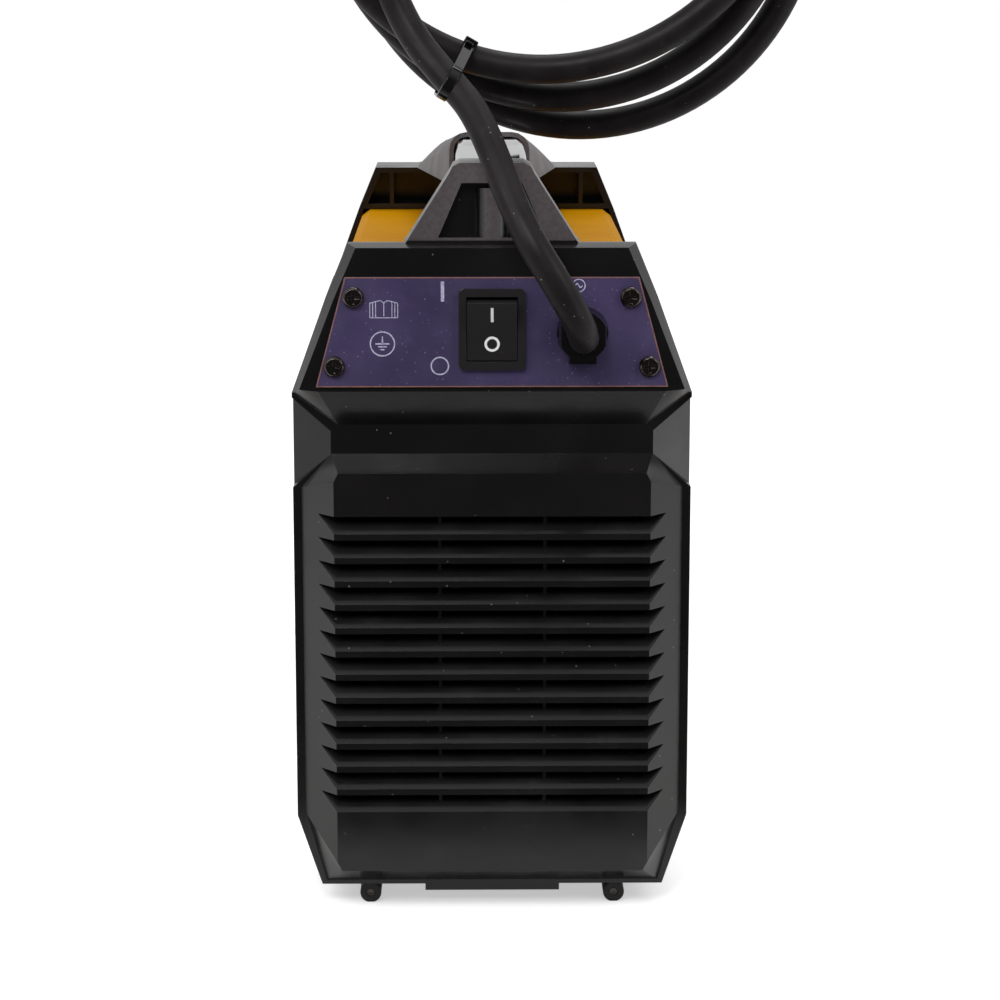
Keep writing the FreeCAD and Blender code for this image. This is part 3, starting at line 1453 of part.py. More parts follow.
def make_outputs():
    make_output("positive", "")
    make_output("negative", "0 - ")
    nuts = []
    start = f"{FRONT_OUTLINE} + {SLAT_FLOOR}"
    for side, word in (("", "positive"), ("0 - ", "negative")):
        nut = part_body(f"socket_nut_{word}")
        corners = [(f"{side}{SOCKET} + socket_nut_radius * cos({60 * step})",
                    f"socket_height + socket_nut_radius * sin({60 * step})") for step in range(6)]
        layer(nut, "Pad", "hexagon", start, "socket_nut_height", False,
              [corners, circle(f"{side}{SOCKET}", "socket_height",
                               "socket_barrel + running_fit")])
        nuts.append(nut)
    node(group("socket_nuts", nuts), "socket_nuts")


# Controls on the front panel

def make_controls():
    edge = f"({SHOULDER} - control_inset)"
    node(block("control_board", (f"0 - {edge}", edge),
               (f"{CONTROL_FACE} - board_gauge", CONTROL_FACE),
               ("control_low", "control_high")), "control_board")
    body = rod("potentiometer_body", "y", "pot_radius", "control_gap", "knob_place", CONTROL_FACE,
               "knob_line")
    bore = rod("potentiometer_bore", "y", "shaft_radius + running_fit", "control_gap + overrun",
               "knob_place", f"{CONTROL_FACE} + control_gap / 2", "knob_line")
    node(cut("potentiometer", body, bore), "potentiometer")
    shaft_start = f"{CONTROL_FACE} + control_gap / 2 + seat_gap"
    shaft_end = f"{FRONT_LABEL} + label_gauge + knob_lift + knob_bore_depth"
    node(rod("knob_shaft", "y", "shaft_radius", f"{shaft_end} - ({shaft_start})", "knob_place",
             shaft_start, "knob_line"), "knob_shaft")

    knob = part_body("current_knob")
    foot = "label_gauge + knob_lift"
    drum = layer(knob, "Pad", "drum", foot, f"knob_height - ({foot})", True,
                 [circle("0", "0", "knob_radius")])
    flute = layer(knob, "Pocket", "flute", f"{foot} + 2 * overrun", "knob_height", True,
                  [circle("knob_radius + knob_flute / 2", "0", "knob_flute")])
    repeat_round(knob, "flutes", flute, "Y_Axis", "knob_flutes")
    layer(knob, "Pocket", "shaft_bore", f"{foot} - overrun", "knob_bore_depth + overrun", True,
          [circle("0", "0", "shaft_radius + shaft_grip")])
    put(knob, "knob_place", FRONT_LABEL, "knob_line")
    node(knob, "current_knob")

    window = part_body("display_window")
    layer(window, "Pad", "pane", f"{FRONT_LABEL} + label_gauge", "window_gauge", False,
          [window_outline("0")])
    node(window, "display_window")
    digits = part_body("display_module")
    layer(digits, "Pad", "module", CONTROL_FACE,
          f"{FRONT_LABEL} + label_gauge - window_gauge - ({CONTROL_FACE})", True,
          [window_outline("0")])
    node(digits, "display_module")
    lamps = []
    for number, x in enumerate(lamp_places(), 1):
        lamps.append(rod(f"lamp_{number}", "y", "lamp_radius",
                         f"{FRONT_LABEL} + label_gauge + lamp_dome - ({CONTROL_FACE})",
                         x, CONTROL_FACE, "lamp_line"))
    node(group("indicator_lamps", lamps), "indicator_lamps")
    front = f"({FRONT_OUTLINE} - frame_wall)"
    half = f"{SIDE} - filter_inset"
    node(block("filter_foam", (f"0 - ({half})", half), (f"{front} - filter_gauge", front),
               ("filter_foot", "louvre_pocket_head + filter_gauge")), "filter_foam")



# Mains cord: a lead up to the handle, then four loose loops, then the plug

def vector(x, y, z):
    """A point from three formulas."""
    return FreeCAD.Vector(value(x), value(y), value(z))


# How far each point of the lead is from the strain relief's mouth, in cord diameters
LEAD_SHARES = [
    (0.0, 0.0, 0.0),
    (0.0, -0.95, 0.0),
    (-0.12, -1.72, 0.46),
    (-0.47, -2.22, 1.20),
    (-1.08, -2.38, 2.25),
    (-1.82, -2.06, 3.41),
    (-2.45, -1.06, 4.71),
    (-3.03, 0.07, 6.21),
]
LEAD_IN_SHARE = 1.13
COIL_START = 222.0
COIL_TURNS = 3.4
# Turns wound so far, then the centre's x and its height over the grip, as shares of the radius
COIL_CENTRE_SHARES = [
    (0.0, 0.516, 1.068),
    (0.867, 0.208, 1.374),
    (1.867, 0.297, 1.247),
    (2.867, 0.387, 1.117),
    (3.4, 0.390, 1.180),
]
COIL_REFERENCE_TURN = 0.867
LEAD_IN_TURNS = 0.07
LEAD_OUT_TURNS = 0.4


def coil_centre(turn):
    """The centre that the coil turns round after so many turns."""
    last = len(COIL_CENTRE_SHARES) - 2
    step = sum(1 for knot in COIL_CENTRE_SHARES[1:-1] if knot[0] <= turn)
    before, after = COIL_CENTRE_SHARES[min(step, last)], COIL_CENTRE_SHARES[min(step, last) + 1]
    share = (turn - before[0]) / (after[0] - before[0])
    eased = share * share * (3 - 2 * share)
    return [low + (high - low) * eased for low, high in zip(before[1:], after[1:])]


def coil_point(turn):
    """A point on the coil after so many turns: the loops go clockwise, seen from behind."""
    radius = value("coil_radius")
    centre_x, centre_z = coil_centre(turn)
    angle = math.radians(COIL_START - 360 * turn)
    ahead = value("coil_pitch") * (turn - COIL_REFERENCE_TURN)
    ahead -= value("coil_lead_in") * max(0, 1 - turn / LEAD_IN_TURNS) ** 2
    ahead += value("coil_lead_out") * max(0, 1 - (COIL_TURNS - turn) / LEAD_OUT_TURNS) ** 2
    return FreeCAD.Vector(
        radius * (centre_x + math.cos(angle)),
        value(f"{TOWER_FRONT} + coil_place") + ahead,
        value(GRIP_TOP) + radius * (centre_z + math.sin(angle)),
    )


def coil_heading(turn):
    """The way that the cord runs there."""
    nudge = 0.0005
    first, last = max(0, turn - nudge), min(COIL_TURNS, turn + nudge)
    return (coil_point(last) - coil_point(first)).normalize()


def tangent_arc(start, heading, end):
    """The arc that leaves start along heading and reaches end."""
    chord = end - start
    lean = heading.getAngle(chord)
    side = (heading - chord.normalize() * math.cos(lean)).normalize()
    chord = end - start
    middle = start + chord * 0.5 + side * (chord.Length / 2 * math.tan(lean / 2))
    return Part.Arc(start, middle, end)


def biarc(start, start_heading, end, end_heading):
    """Two arcs that meet smoothly between two points with headings."""
    across = end - start
    both = start_heading + end_heading
    bend = 2 * (1 - start_heading.dot(end_heading))
    along = across.dot(both)
    reach = (math.sqrt(along ** 2 + bend * across.dot(across)) - along) / bend
    meeting = (start + start_heading * reach + end - end_heading * reach) * 0.5
    back = tangent_arc(end, end_heading * -1, meeting)
    return [tangent_arc(start, start_heading, meeting), back]


def rounded_route(points):
    """Straight runs joined by arcs as large as the runs allow, with the arcs' radii."""
    pieces = []
    radii = []
    last = points[0]
    for before, corner, after in zip(points, points[1:], points[2:]):
        incoming, outgoing = corner - before, after - corner
        turn = incoming.getAngle(outgoing)
        setback = 0.45 * min(incoming.Length, outgoing.Length)
        radii.append(setback / math.tan(turn / 2))
        start = corner - incoming.normalize() * setback
        end = corner + outgoing.normalize() * setback
        pieces.append(Part.LineSegment(last, start))
        pieces.append(tangent_arc(start, incoming, end))
        last = end
    pieces.append(Part.LineSegment(last, points[-1]))
    return pieces, radii


def tube(name, pieces, start, heading):
    """A round cord along a path of lines and arcs."""
    path = Part.Wire(Part.__sortEdges__([piece.toShape() for piece in pieces]))
    ring = Part.Wire(Part.Circle(start, heading, value("cord_diameter / 2")).toShape())
    solid = path.makePipeShell([ring], True, False)
    made = doc.addObject("Part::Feature", name)
    made.Shape = solid
    section = math.pi * value("cord_diameter / 2") ** 2
    print(name, "length", round(path.Length), "volume", round(solid.Volume),
          "section times length", round(section * path.Length))
    node(made, name)
    return path


def least_self_gap(path, apart):
    """The least gap between parts of a tube that are apart along it, on points."""
    points = path.discretize(Distance=value("cord_diameter / 3"))
    skip = int(apart / value("cord_diameter / 3"))
    closest = min(point.distanceToPoint(other)
                  for place, point in enumerate(points) for other in points[place + skip:])
    return closest - value("cord_diameter")


def make_cord():
    width = value("cord_diameter")
    mouth = vector("relief_place", f"{REAR_LABEL} - label_gauge - relief_length", "relief_height")
    coil_start = coil_point(0)
    lead_heading = coil_heading(0)
    joint = coil_start - lead_heading * width
    points = [mouth + FreeCAD.Vector(*shares) * width for shares in LEAD_SHARES]
    points += [joint - lead_heading * (LEAD_IN_SHARE * width), joint]
    pieces, radii = rounded_route(points)
    tube("cord_lead", pieces, mouth, points[1] - points[0])
    print("lead radii", [round(radius, 1) for radius in radii])

    steps = round(COIL_TURNS / 0.25 - 0.4)
    turns = [COIL_TURNS * step / steps for step in range(steps + 1)]
    pieces = [Part.LineSegment(joint, coil_start)]
    for before, after in zip(turns, turns[1:]):
        pieces += biarc(coil_point(before), coil_heading(before),
                        coil_point(after), coil_heading(after))
    last_heading = coil_heading(COIL_TURNS)
    coil_end = coil_point(COIL_TURNS)
    plug_seat = coil_end + last_heading * width
    pieces.append(Part.LineSegment(coil_end, plug_seat))
    path = tube("cord_coil", pieces, joint, lead_heading)
    print("coil least gap to itself", round(least_self_gap(path, 6 * width), 2))

    sleeve = doc.addObject("Part::Cone", "plug_sleeve_cone")
    sleeve.setExpression("Radius1", linked("plug_sleeve"))
    sleeve.setExpression("Radius2", linked("(plug_sleeve + plug_radius) / 2"))
    sleeve.setExpression("Height", linked("plug_sleeve_length"))
    head = rod("plug_head", "z", "plug_radius", "plug_length", "0", "0", "plug_sleeve_length")
    pins = [rod(f"plug_pin_{word}", "z", "plug_pin", "plug_pin_length + overrun",
                f"{side}plug_pin_pitch / 2", "0", "plug_sleeve_length + plug_length - overrun")
            for side, word in (("", "right"), ("0 - ", "left"))]
    plug = joined("plug", [sleeve, head] + pins)
    plug.Placement = FreeCAD.Placement(
        plug_seat, FreeCAD.Rotation(FreeCAD.Vector(0, 0, 1), last_heading))
    node(plug, "plug")


# Where the cable tie crosses the loops: its middle from the coil's start, in coil radii
TIE_SHARES = (0.09, 0.232, 0.0)
TIE_LEAN = 60.0


def make_tie():
    middle = coil_point(0) + FreeCAD.Vector(*TIE_SHARES) * value("coil_radius")
    outer = block("tie_outer", ("0 - tie_wide / 2", "tie_wide / 2"),
                  ("0 - tie_deep / 2", "tie_deep / 2"), ("0 - tie_band / 2", "tie_band / 2"))
    inner = block("tie_inner", ("tie_gauge - tie_wide / 2", "tie_wide / 2 - tie_gauge"),
                  ("tie_gauge - tie_deep / 2", "tie_deep / 2 - tie_gauge"),
                  ("0 - tie_band", "tie_band"))
    band_loop = cut("cable_tie", outer, inner)
    lean = FreeCAD.Rotation(FreeCAD.Vector(0, -1, 0), TIE_LEAN)
    band_loop.Placement = FreeCAD.Placement(middle, lean)
    node(band_loop, "cable_tie")


make_rear_frame()
make_front_frame()
make_top_cover()
make_base_tray()
make_label_plates()
make_label_screws("rear_label_screws", f"{REAR_LABEL} - label_gauge", "-y")
make_label_screws("front_label_screws", f"{FRONT_LABEL} + label_gauge", "y")
make_case_screws()
make_feet()
make_handle()
make_switch()
make_strain_relief()
make_fan()
make_main_board()
make_power_stage()
make_transformer()
make_choke()
make_outputs()
make_controls()
make_cord()
make_tie()

doc.recompute()

for thing in doc.Objects:
    if "Invalid" in thing.State or "Error" in thing.State:
        raise RuntimeError(f"{thing.Name} did not compute: {thing.State}")

os.makedirs("parts", exist_ok=True)
for thing in NODES:
    shape = thing.Shape
    if shape.isNull() or not shape.isValid():
        raise RuntimeError(f"{thing.Label} has no valid shape")
    shape.exportStep(f"parts/{thing.Label}.step")
print(len(NODES), "pieces written")
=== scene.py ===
"""Looks of the inverter arc welder: its cord and small pieces, softened edges and finishes."""
import json
import math
from collections import namedtuple

import bmesh
import bpy
from mathutils import Matrix, Vector
from mathutils.bvhtree import BVHTree
from mathutils.geometry import convex_hull_2d


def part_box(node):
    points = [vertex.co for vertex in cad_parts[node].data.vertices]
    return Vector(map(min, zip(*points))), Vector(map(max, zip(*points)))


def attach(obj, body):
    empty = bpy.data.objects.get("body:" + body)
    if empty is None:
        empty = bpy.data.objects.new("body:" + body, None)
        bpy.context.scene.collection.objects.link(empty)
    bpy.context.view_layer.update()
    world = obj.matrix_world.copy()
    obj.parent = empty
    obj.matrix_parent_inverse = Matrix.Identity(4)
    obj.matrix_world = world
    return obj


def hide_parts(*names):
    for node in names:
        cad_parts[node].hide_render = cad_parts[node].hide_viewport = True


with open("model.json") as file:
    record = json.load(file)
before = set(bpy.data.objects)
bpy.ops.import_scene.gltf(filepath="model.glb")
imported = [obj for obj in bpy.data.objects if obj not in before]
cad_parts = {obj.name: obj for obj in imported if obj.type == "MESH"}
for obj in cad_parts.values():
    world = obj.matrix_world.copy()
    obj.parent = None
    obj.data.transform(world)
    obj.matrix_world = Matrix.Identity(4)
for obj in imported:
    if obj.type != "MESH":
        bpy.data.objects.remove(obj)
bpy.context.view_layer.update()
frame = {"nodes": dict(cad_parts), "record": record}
NODES = frame["nodes"]
RECORD = frame["record"]
BODY_OF = {name: body for body, names in RECORD["behaviour"]["bodies"].items() for name in names}
SLOT_OF = {entry["node"]: entry["material_slot"] for entry in RECORD["subparts"]}

MM = 0.001
scene = bpy.context.scene


# Camera at the photograph's own angle and framing

CAMERA_PLACE = (-8.85, -1277, 384)
CAMERA_DROP = 11.464
CAMERA_TURN = -0.63
SENSOR_WIDTH = 36.0
FOCAL_LENGTH = 102.96


def make_camera():
    """A long lens behind the machine and a little above it, looking down by 11.5 degrees."""
    data = bpy.data.cameras.new("photo_camera")
    data.sensor_width = SENSOR_WIDTH
    data.lens = FOCAL_LENGTH
    camera = bpy.data.objects.new("photo_camera", data)
    camera.location = [value * MM for value in CAMERA_PLACE]
    camera.rotation_euler = (math.radians(90 - CAMERA_DROP), 0, math.radians(CAMERA_TURN))
    scene.collection.objects.link(camera)
    scene.camera = camera


make_camera()


# Finishes

def tone(colour):
    """An sRGB hex colour as the linear values that a shader takes."""
    channels = [int(colour[start:start + 2], 16) / 255 for start in (1, 3, 5)]
    linear = [c / 12.92 if c <= 0.04045 else ((c + 0.055) / 1.055) ** 2.4 for c in channels]
    return (*linear, 1.0)


def add(tree, kind, links=None, **settings):
    """A node with its settings made and its sockets linked or set, a hex colour by its tone."""
    made = tree.nodes.new(kind)
    for word, setting in settings.items():
        setattr(made, word, setting)
    for socket, given in (links or {}).items():
        if isinstance(given, bpy.types.NodeSocket):
            tree.links.new(given, made.inputs[socket])
        else:
            made.inputs[socket].default_value = tone(given) if isinstance(given, str) else given
    return made


# A material with its node tree, its shader and the place in millimetres
Coat = namedtuple("Coat", "material tree shader place")


def finish(name, colour, roughness, **sockets):
    """A material with plain values on its shader, and the place in millimetres for patterns."""
    material = bpy.data.materials.new(name)
    material.use_nodes = True
    material.diffuse_color = tone(colour)
    tree = material.node_tree
    shader = tree.nodes["Principled BSDF"]
    shader.inputs["Base Color"].default_value = tone(colour)
    shader.inputs["Roughness"].default_value = roughness
    for word, setting in sockets.items():
        shader.inputs[word.replace("_", " ").title().replace("Ior", "IOR")].default_value = setting
    coords = add(tree, "ShaderNodeTexCoord")
    place = add(tree, "ShaderNodeVectorMath", {0: coords.outputs["Object"], "Scale": 1 / MM},
                operation="SCALE")
    return Coat(material, tree, shader, place.outputs[0])


def feed(coat, patterns):
    """Lead patterns to the shader's sockets."""
    for socket, pattern in patterns.items():
        coat.tree.links.new(pattern, coat.shader.inputs[socket])


NOISE_ROUGHNESS = 0.55


def cloud(coat, size, detail, place=None):
    """Soft noise whose patches are about so many millimetres across."""
    made = add(coat.tree, "ShaderNodeTexNoise", {"Vector": place or coat.place, "Scale": 1 / size,
                                                 "Detail": detail, "Roughness": NOISE_ROUGHNESS})
    return made.outputs["Fac"]


def patches(coat, size, low=0.0, high=1.0, start=0.3, end=0.7, detail=3.0, place=None):
    """Soft patches that go from a low value to a high one."""
    made = add(coat.tree, "ShaderNodeMapRange",
               {"Value": cloud(coat, size, detail, place), "From Min": start, "From Max": end,
                "To Min": low, "To Max": high})
    return made.outputs["Result"]


def mottle(coat, size, first, second, **reach):
    """Two colours in soft patches, each given as hex or by a socket."""
    made = add(coat.tree, "ShaderNodeMixRGB",
               {"Fac": patches(coat, size, **reach), "Color1": first, "Color2": second})
    return made.outputs["Color"]


def sprinkle(coat, body, spacing, size, grains):
    """Grains of a radius up to so many millimetres, scattered over a colour."""
    cells = add(coat.tree, "ShaderNodeTexVoronoi", {"Vector": coat.place, "Scale": 1 / spacing})
    random = add(coat.tree, "ShaderNodeSeparateColor", {"Color": cells.outputs["Color"]})
    reach = add(coat.tree, "ShaderNodeMath", {0: random.outputs["Red"], 1: size / spacing},
                operation="MULTIPLY")
    grain = add(coat.tree, "ShaderNodeMath",
                {0: cells.outputs["Distance"], 1: reach.outputs["Value"]}, operation="LESS_THAN")
    made = add(coat.tree, "ShaderNodeMixRGB",
               {"Fac": grain.outputs["Value"], "Color1": body, "Color2": grains})
    return made.outputs["Color"]


def pebble(coat, size, depth, strength, detail=2.0):
    """A fine uneven skin, its bumps so many millimetres across and deep."""
    bump = add(coat.tree, "ShaderNodeBump", {"Height": cloud(coat, size, detail),
                                             "Distance": depth * MM, "Strength": strength})
    feed(coat, {"Normal": bump.outputs["Normal"]})


def past(coat, value, edge, ease):
    """A share that rises from 0 to 1 past an edge, or falls there if the ease is below zero."""
    made = add(coat.tree, "ShaderNodeMapRange",
               {"Value": value, "From Min": edge - ease, "From Max": edge + ease})
    return made.outputs["Result"]


# Where the handle's mount and arm rise from the frames, in millimetres
MOUNT_FOOT = 264.5
MOUNT_BACK = -190.2
ARM_BACK = -100.0
CRISP = 0.3
GRAIN_DULLING = 0.25


def make_black_shell():
    # ABS, injection moulded: a deep black with a satin gloss, faint flow marks and grains of dust;
    # the handle's mount and arm are spark eroded in the mould, so they come out dull, and their much
    # paler colour there is partly painted light, standing in for the light that those faces catch
    coat = finish("abs_moulded_black", "#121111", 0.22)
    body = mottle(coat, 45, "#0E0D0D", "#151313")
    dusted = sprinkle(coat, body, 5.5, 0.4, "#5E5855")
    split = add(coat.tree, "ShaderNodeSeparateXYZ", {0: coat.place})
    high = past(coat, split.outputs["Z"], MOUNT_FOOT, CRISP)
    mount = past(coat, split.outputs["Y"], MOUNT_BACK, -CRISP)
    arm = past(coat, split.outputs["Y"], ARM_BACK, 5)
    either = add(coat.tree, "ShaderNodeMath", {0: mount, 1: arm}, operation="MAXIMUM")
    # where the spark grain and the painted light go: the mount and the arm, high up
    grain_and_painted_light_share = add(coat.tree, "ShaderNodeMath", {0: high, 1: either.outputs[0]}, operation="MULTIPLY")
    # painted light: this pale mottle stands partly for the spark grain and partly for the light those
    # faces catch
    grain_tone_and_painted_light = mottle(coat, 1.4, "#4A4445", "#585153", detail=2)
    both = add(coat.tree, "ShaderNodeMixRGB",
               {"Fac": grain_and_painted_light_share.outputs[0], "Color1": dusted, "Color2": grain_tone_and_painted_light})
    sheen = patches(coat, 22, 0.16, 0.28)
    dull = add(coat.tree, "ShaderNodeMath", {0: grain_and_painted_light_share.outputs[0], 1: GRAIN_DULLING, 2: sheen},
               operation="MULTIPLY_ADD")
    feed(coat, {"Base Color": both.outputs["Color"], "Roughness": dull.outputs[0]})
    pebble(coat, 0.9, 0.012, 0.5)
    return coat.material


def make_yellow_sheet():
    # Polyester powder coat on sheet steel: amber yellow, softly shining, with a fine orange peel
    coat = finish("powder_coat_amber", "#B47A02", 0.5, specular_ior_level=0.02)
    body = mottle(coat, 60, "#AE7600", "#BC8200")
    feed(coat, {"Base Color": sprinkle(coat, body, 5.0, 0.35, "#DCC185")})
    pebble(coat, 2.2, 0.02, 0.5)
    return coat.material


def make_tray_sheet():
    # Galvanised sheet steel: pale grey metal in flat crystals of zinc a few millimetres across
    coat = finish("galvanised_steel", "#A9ABAD", 0.4, metallic=1.0)
    cells = add(coat.tree, "ShaderNodeTexVoronoi", {"Vector": coat.place, "Scale": 1 / 7})
    split = add(coat.tree, "ShaderNodeSeparateColor", {"Color": cells.outputs["Color"]})
    tones = add(coat.tree, "ShaderNodeMixRGB",
                {"Fac": split.outputs["Red"], "Color1": "#9FA1A3", "Color2": "#B9BBBC"})
    sheen = add(coat.tree, "ShaderNodeMapRange",
                {"Value": split.outputs["Green"], "To Min": 0.3, "To Max": 0.48})
    feed(coat, {"Base Color": tones.outputs["Color"], "Roughness": sheen.outputs["Result"]})
    return coat.material


def make_label_film():
    # Polyester label film, printed: muted violet with a fine pale fleck, softly shining
    coat = finish("polyester_film_violet", "#332C4D", 0.38)
    body = mottle(coat, 26, "#3D3556", "#4A4065")
    flecked = sprinkle(coat, body, 1.7, 0.34, "#6A618C")
    smudged = mottle(coat, 9, flecked, "#5C5379", high=0.3, start=0.55, end=0.8)
    feed(coat, {"Base Color": smudged, "Roughness": patches(coat, 12, 0.3, 0.5)})
    pebble(coat, 0.6, 0.01, 0.4)
    return coat.material


def make_black_screw():
    # Steel, blackened by a zinc and passivate bath: a glossy bronze black
    coat = finish("blackened_steel", "#56514F", 0.14, metallic=1.0)
    feed(coat, {"Base Color": mottle(coat, 3.5, "#514C4A", "#5C5654")})
    return coat.material


def make_zinc_screw():
    # Steel, bright zinc plated: pale grey with a faint mottle
    coat = finish("zinc_plated_steel", "#B4B6B8", 0.3, metallic=1.0)
    feed(coat, {"Roughness": patches(coat, 1.8, 0.22, 0.4)})
    return coat.material


def make_switch_black():
    # Polyamide, injection moulded: a clean deep black with a soft shine
    coat = finish("polyamide_moulded_black", "#211F20", 0.34)
    feed(coat, {"Base Color": sprinkle(coat, "#211F20", 4.4, 0.3, "#4C4846")})
    pebble(coat, 0.5, 0.008, 0.5)
    return coat.material


def make_relief_black():
    # Polyamide gland, injection moulded: black and glossier than the case
    coat = finish("polyamide_gland_black", "#0A0A0B", 0.1)
    feed(coat, {"Roughness": patches(coat, 4, 0.06, 0.14)})
    return coat.material


def make_cord_rubber():
    # Chloroprene rubber sheath, extruded: warm grey black with a dull sheen, dust and pale talc
    coat = finish("chloroprene_extruded", "#1D1A1B", 0.4, specular_ior_level=0.14)
    body = mottle(coat, 14, "#191617", "#242021")
    talc = mottle(coat, 5, body, "#353032", high=0.4, start=0.58, end=0.8, detail=5)
    feed(coat, {"Base Color": sprinkle(coat, talc, 4.4, 0.3, "#8C857F"),
                        "Roughness": patches(coat, 8, 0.36, 0.5)})
    pebble(coat, 1.2, 0.03, 0.5, 3)
    return coat.material


def make_foot_rubber():
    # Nitrile rubber, moulded: matt black
    coat = finish("nitrile_moulded", "#161515", 0.6)
    pebble(coat, 0.8, 0.03, 0.6, 3)
    return coat.material


def make_grip_gloss():
    # Steel grip, chrome plated and polished: it shows the white room as a bright band
    coat = finish("chrome_polished", "#E9EBEC", 0.08, metallic=1.0)
    feed(coat, {"Roughness": patches(coat, 30, 0.05, 0.12)})
    return coat.material


def make_fan_plastic():
    # PBT with glass fibre, injection moulded: dull black
    coat = finish("pbt_moulded_black", "#141414", 0.5)
    pebble(coat, 0.7, 0.02, 0.5)
    return coat.material


def make_board_green():
    # Glass fibre board under solder mask: glossy green over a faint weave of 1 mm
    coat = finish("solder_mask_green", "#1D5A34", 0.3)
    weave = add(coat.tree, "ShaderNodeTexChecker",
                {"Vector": coat.place, "Scale": 1.0, "Color1": "#1B5531", "Color2": "#226239"})
    feed(coat, {"Base Color": weave.outputs["Color"]})
    return coat.material


def make_can_sleeve():
    # PVC sleeve, shrunk on an aluminium can: glossy blue black
    coat = finish("pvc_sleeve", "#1C2136", 0.28)
    feed(coat, {"Roughness": patches(coat, 6, 0.22, 0.36)})
    return coat.material


def make_sink_aluminium():
    # Aluminium, extruded: silvery with fine draw lines 0.5 mm apart along the length
    coat = finish("aluminium_extruded", "#BFC1C4", 0.35, metallic=1.0)
    lines = add(coat.tree, "ShaderNodeVectorMath", {0: coat.place, 1: (2.0, 0.02, 2.0)},
                operation="MULTIPLY")
    feed(coat, {"Roughness": patches(coat, 1, 0.28, 0.45, detail=2, place=lines.outputs[0])})
    return coat.material


def make_device_epoxy():
    # Epoxy, transfer moulded: matt charcoal
    coat = finish("epoxy_moulded", "#1B1B1C", 0.55)
    pebble(coat, 0.4, 0.02, 0.5)
    return coat.material


def make_ferrite():
    # Manganese zinc ferrite, sintered and ground: dark grey with a fine grain
    coat = finish("ferrite_sintered", "#3A3A3C", 0.5)
    feed(coat, {"Base Color": mottle(coat, 0.9, "#2F2F31", "#464649")})
    return coat.material


def make_copper_winding():
    # Enamelled copper wire, wound: amber red with a varnish gloss
    coat = finish("enamelled_copper", "#9A4A22", 0.28, metallic=0.9)
    turns = add(coat.tree, "ShaderNodeTexWave", {"Vector": coat.place, "Scale": 0.16, "Distortion": 0.3},
                bands_direction="Z")
    tones = add(coat.tree, "ShaderNodeMixRGB",
                {"Fac": turns.outputs["Fac"], "Color1": "#7E3A1A", "Color2": "#B15A2C"})
    bump = add(coat.tree, "ShaderNodeBump",
               {"Height": turns.outputs["Fac"], "Distance": 0.5 * MM, "Strength": 0.5})
    feed(coat, {"Base Color": tones.outputs["Color"], "Normal": bump.outputs["Normal"]})
    return coat.material


def make_brass_contact():
    # Brass, turned: warm yellow metal with a slightly uneven shine
    coat = finish("brass_turned", "#C9A24E", 0.25, metallic=1.0)
    feed(coat, {"Roughness": patches(coat, 1.2, 0.18, 0.34)})
    return coat.material


def make_copper_bar():
    # Copper bar, rolled: reddish metal, a little dulled
    coat = finish("copper_rolled", "#B46A42", 0.35, metallic=1.0)
    feed(coat, {"Base Color": mottle(coat, 9, "#A65F3A", "#BF7850")})
    return coat.material


def make_socket_black():
    # Phenolic resin, compression moulded: black with a low gloss
    coat = finish("phenolic_moulded", "#151414", 0.4)
    feed(coat, {"Roughness": patches(coat, 3, 0.32, 0.48)})
    return coat.material


def make_knob_black():
    # ABS knob, moulded: matt black from a fine spark grain
    coat = finish("abs_sparked_black", "#171718", 0.5)
    pebble(coat, 0.4, 0.03, 0.6)
    return coat.material


def make_window_smoke():
    # Acrylic, cast and tinted: smoked, glossy and nearly black when its digits are off
    coat = finish("acrylic_smoked", "#170E10", 0.06, coat_weight=0.3)
    feed(coat, {"Roughness": patches(coat, 15, 0.04, 0.09)})
    return coat.material


def make_lamp_lens():
    # Polycarbonate lens, moulded: milky amber, unlit
    coat = finish("polycarbonate_lens", "#B4703A", 0.18)
    feed(coat, {"Base Color": mottle(coat, 2, "#A9652F", "#C07C45")})
    return coat.material


def make_foam():
    # Open polyurethane filter foam: charcoal, with pores of about 1 mm
    coat = finish("polyurethane_foam", "#232323", 0.9)
    pores = add(coat.tree, "ShaderNodeTexVoronoi", {"Vector": coat.place, "Scale": 0.9})
    tones = add(coat.tree, "ShaderNodeMixRGB",
                {"Fac": pores.outputs["Distance"], "Color1": "#0B0B0B", "Color2": "#3A3A3A"})
    bump = add(coat.tree, "ShaderNodeBump",
               {"Height": pores.outputs["Distance"], "Distance": 0.4 * MM, "Strength": 0.8})
    feed(coat, {"Base Color": tones.outputs["Color"], "Normal": bump.outputs["Normal"]})
    return coat.material


def make_relay_blue():
    # PBT relay case, moulded: mid blue with a soft gloss
    coat = finish("pbt_moulded_blue", "#22508C", 0.35)
    feed(coat, {"Roughness": patches(coat, 5, 0.3, 0.42)})
    return coat.material


def make_pale_print():
    # Screen print ink: pale lavender grey, a little worn
    coat = finish("screen_ink_pale", "#B9B7D2", 0.5)
    worn = mottle(coat, 0.8, "#A3A1BF", "#C6C4DC", start=0.35, end=0.6)
    feed(coat, {"Base Color": worn})
    return coat.material


def make_white_print():
    # Pad print ink: clean white
    coat = finish("pad_ink_white", "#F0F0F0", 0.45)
    inked = mottle(coat, 0.8, "#E6E6E6", "#F6F6F6", start=0, end=1)
    feed(coat, {"Base Color": inked})
    return coat.material


def make_film_edge():
    # Cut edge of the label film, where its adhesive shows: coppery brown
    coat = finish("film_cut_edge", "#8A6152", 0.4)
    glued = mottle(coat, 3, "#6E4C44", "#A97763", start=0, end=1)
    feed(coat, {"Base Color": glued})
    return coat.material


def make_dark_segments():
    # Unlit display segments: a dull red brown
    coat = finish("segments_unlit", "#3A1F22", 0.5)
    unlit = mottle(coat, 2, "#34191C", "#43262A", start=0, end=1)
    feed(coat, {"Base Color": unlit})
    return coat.material


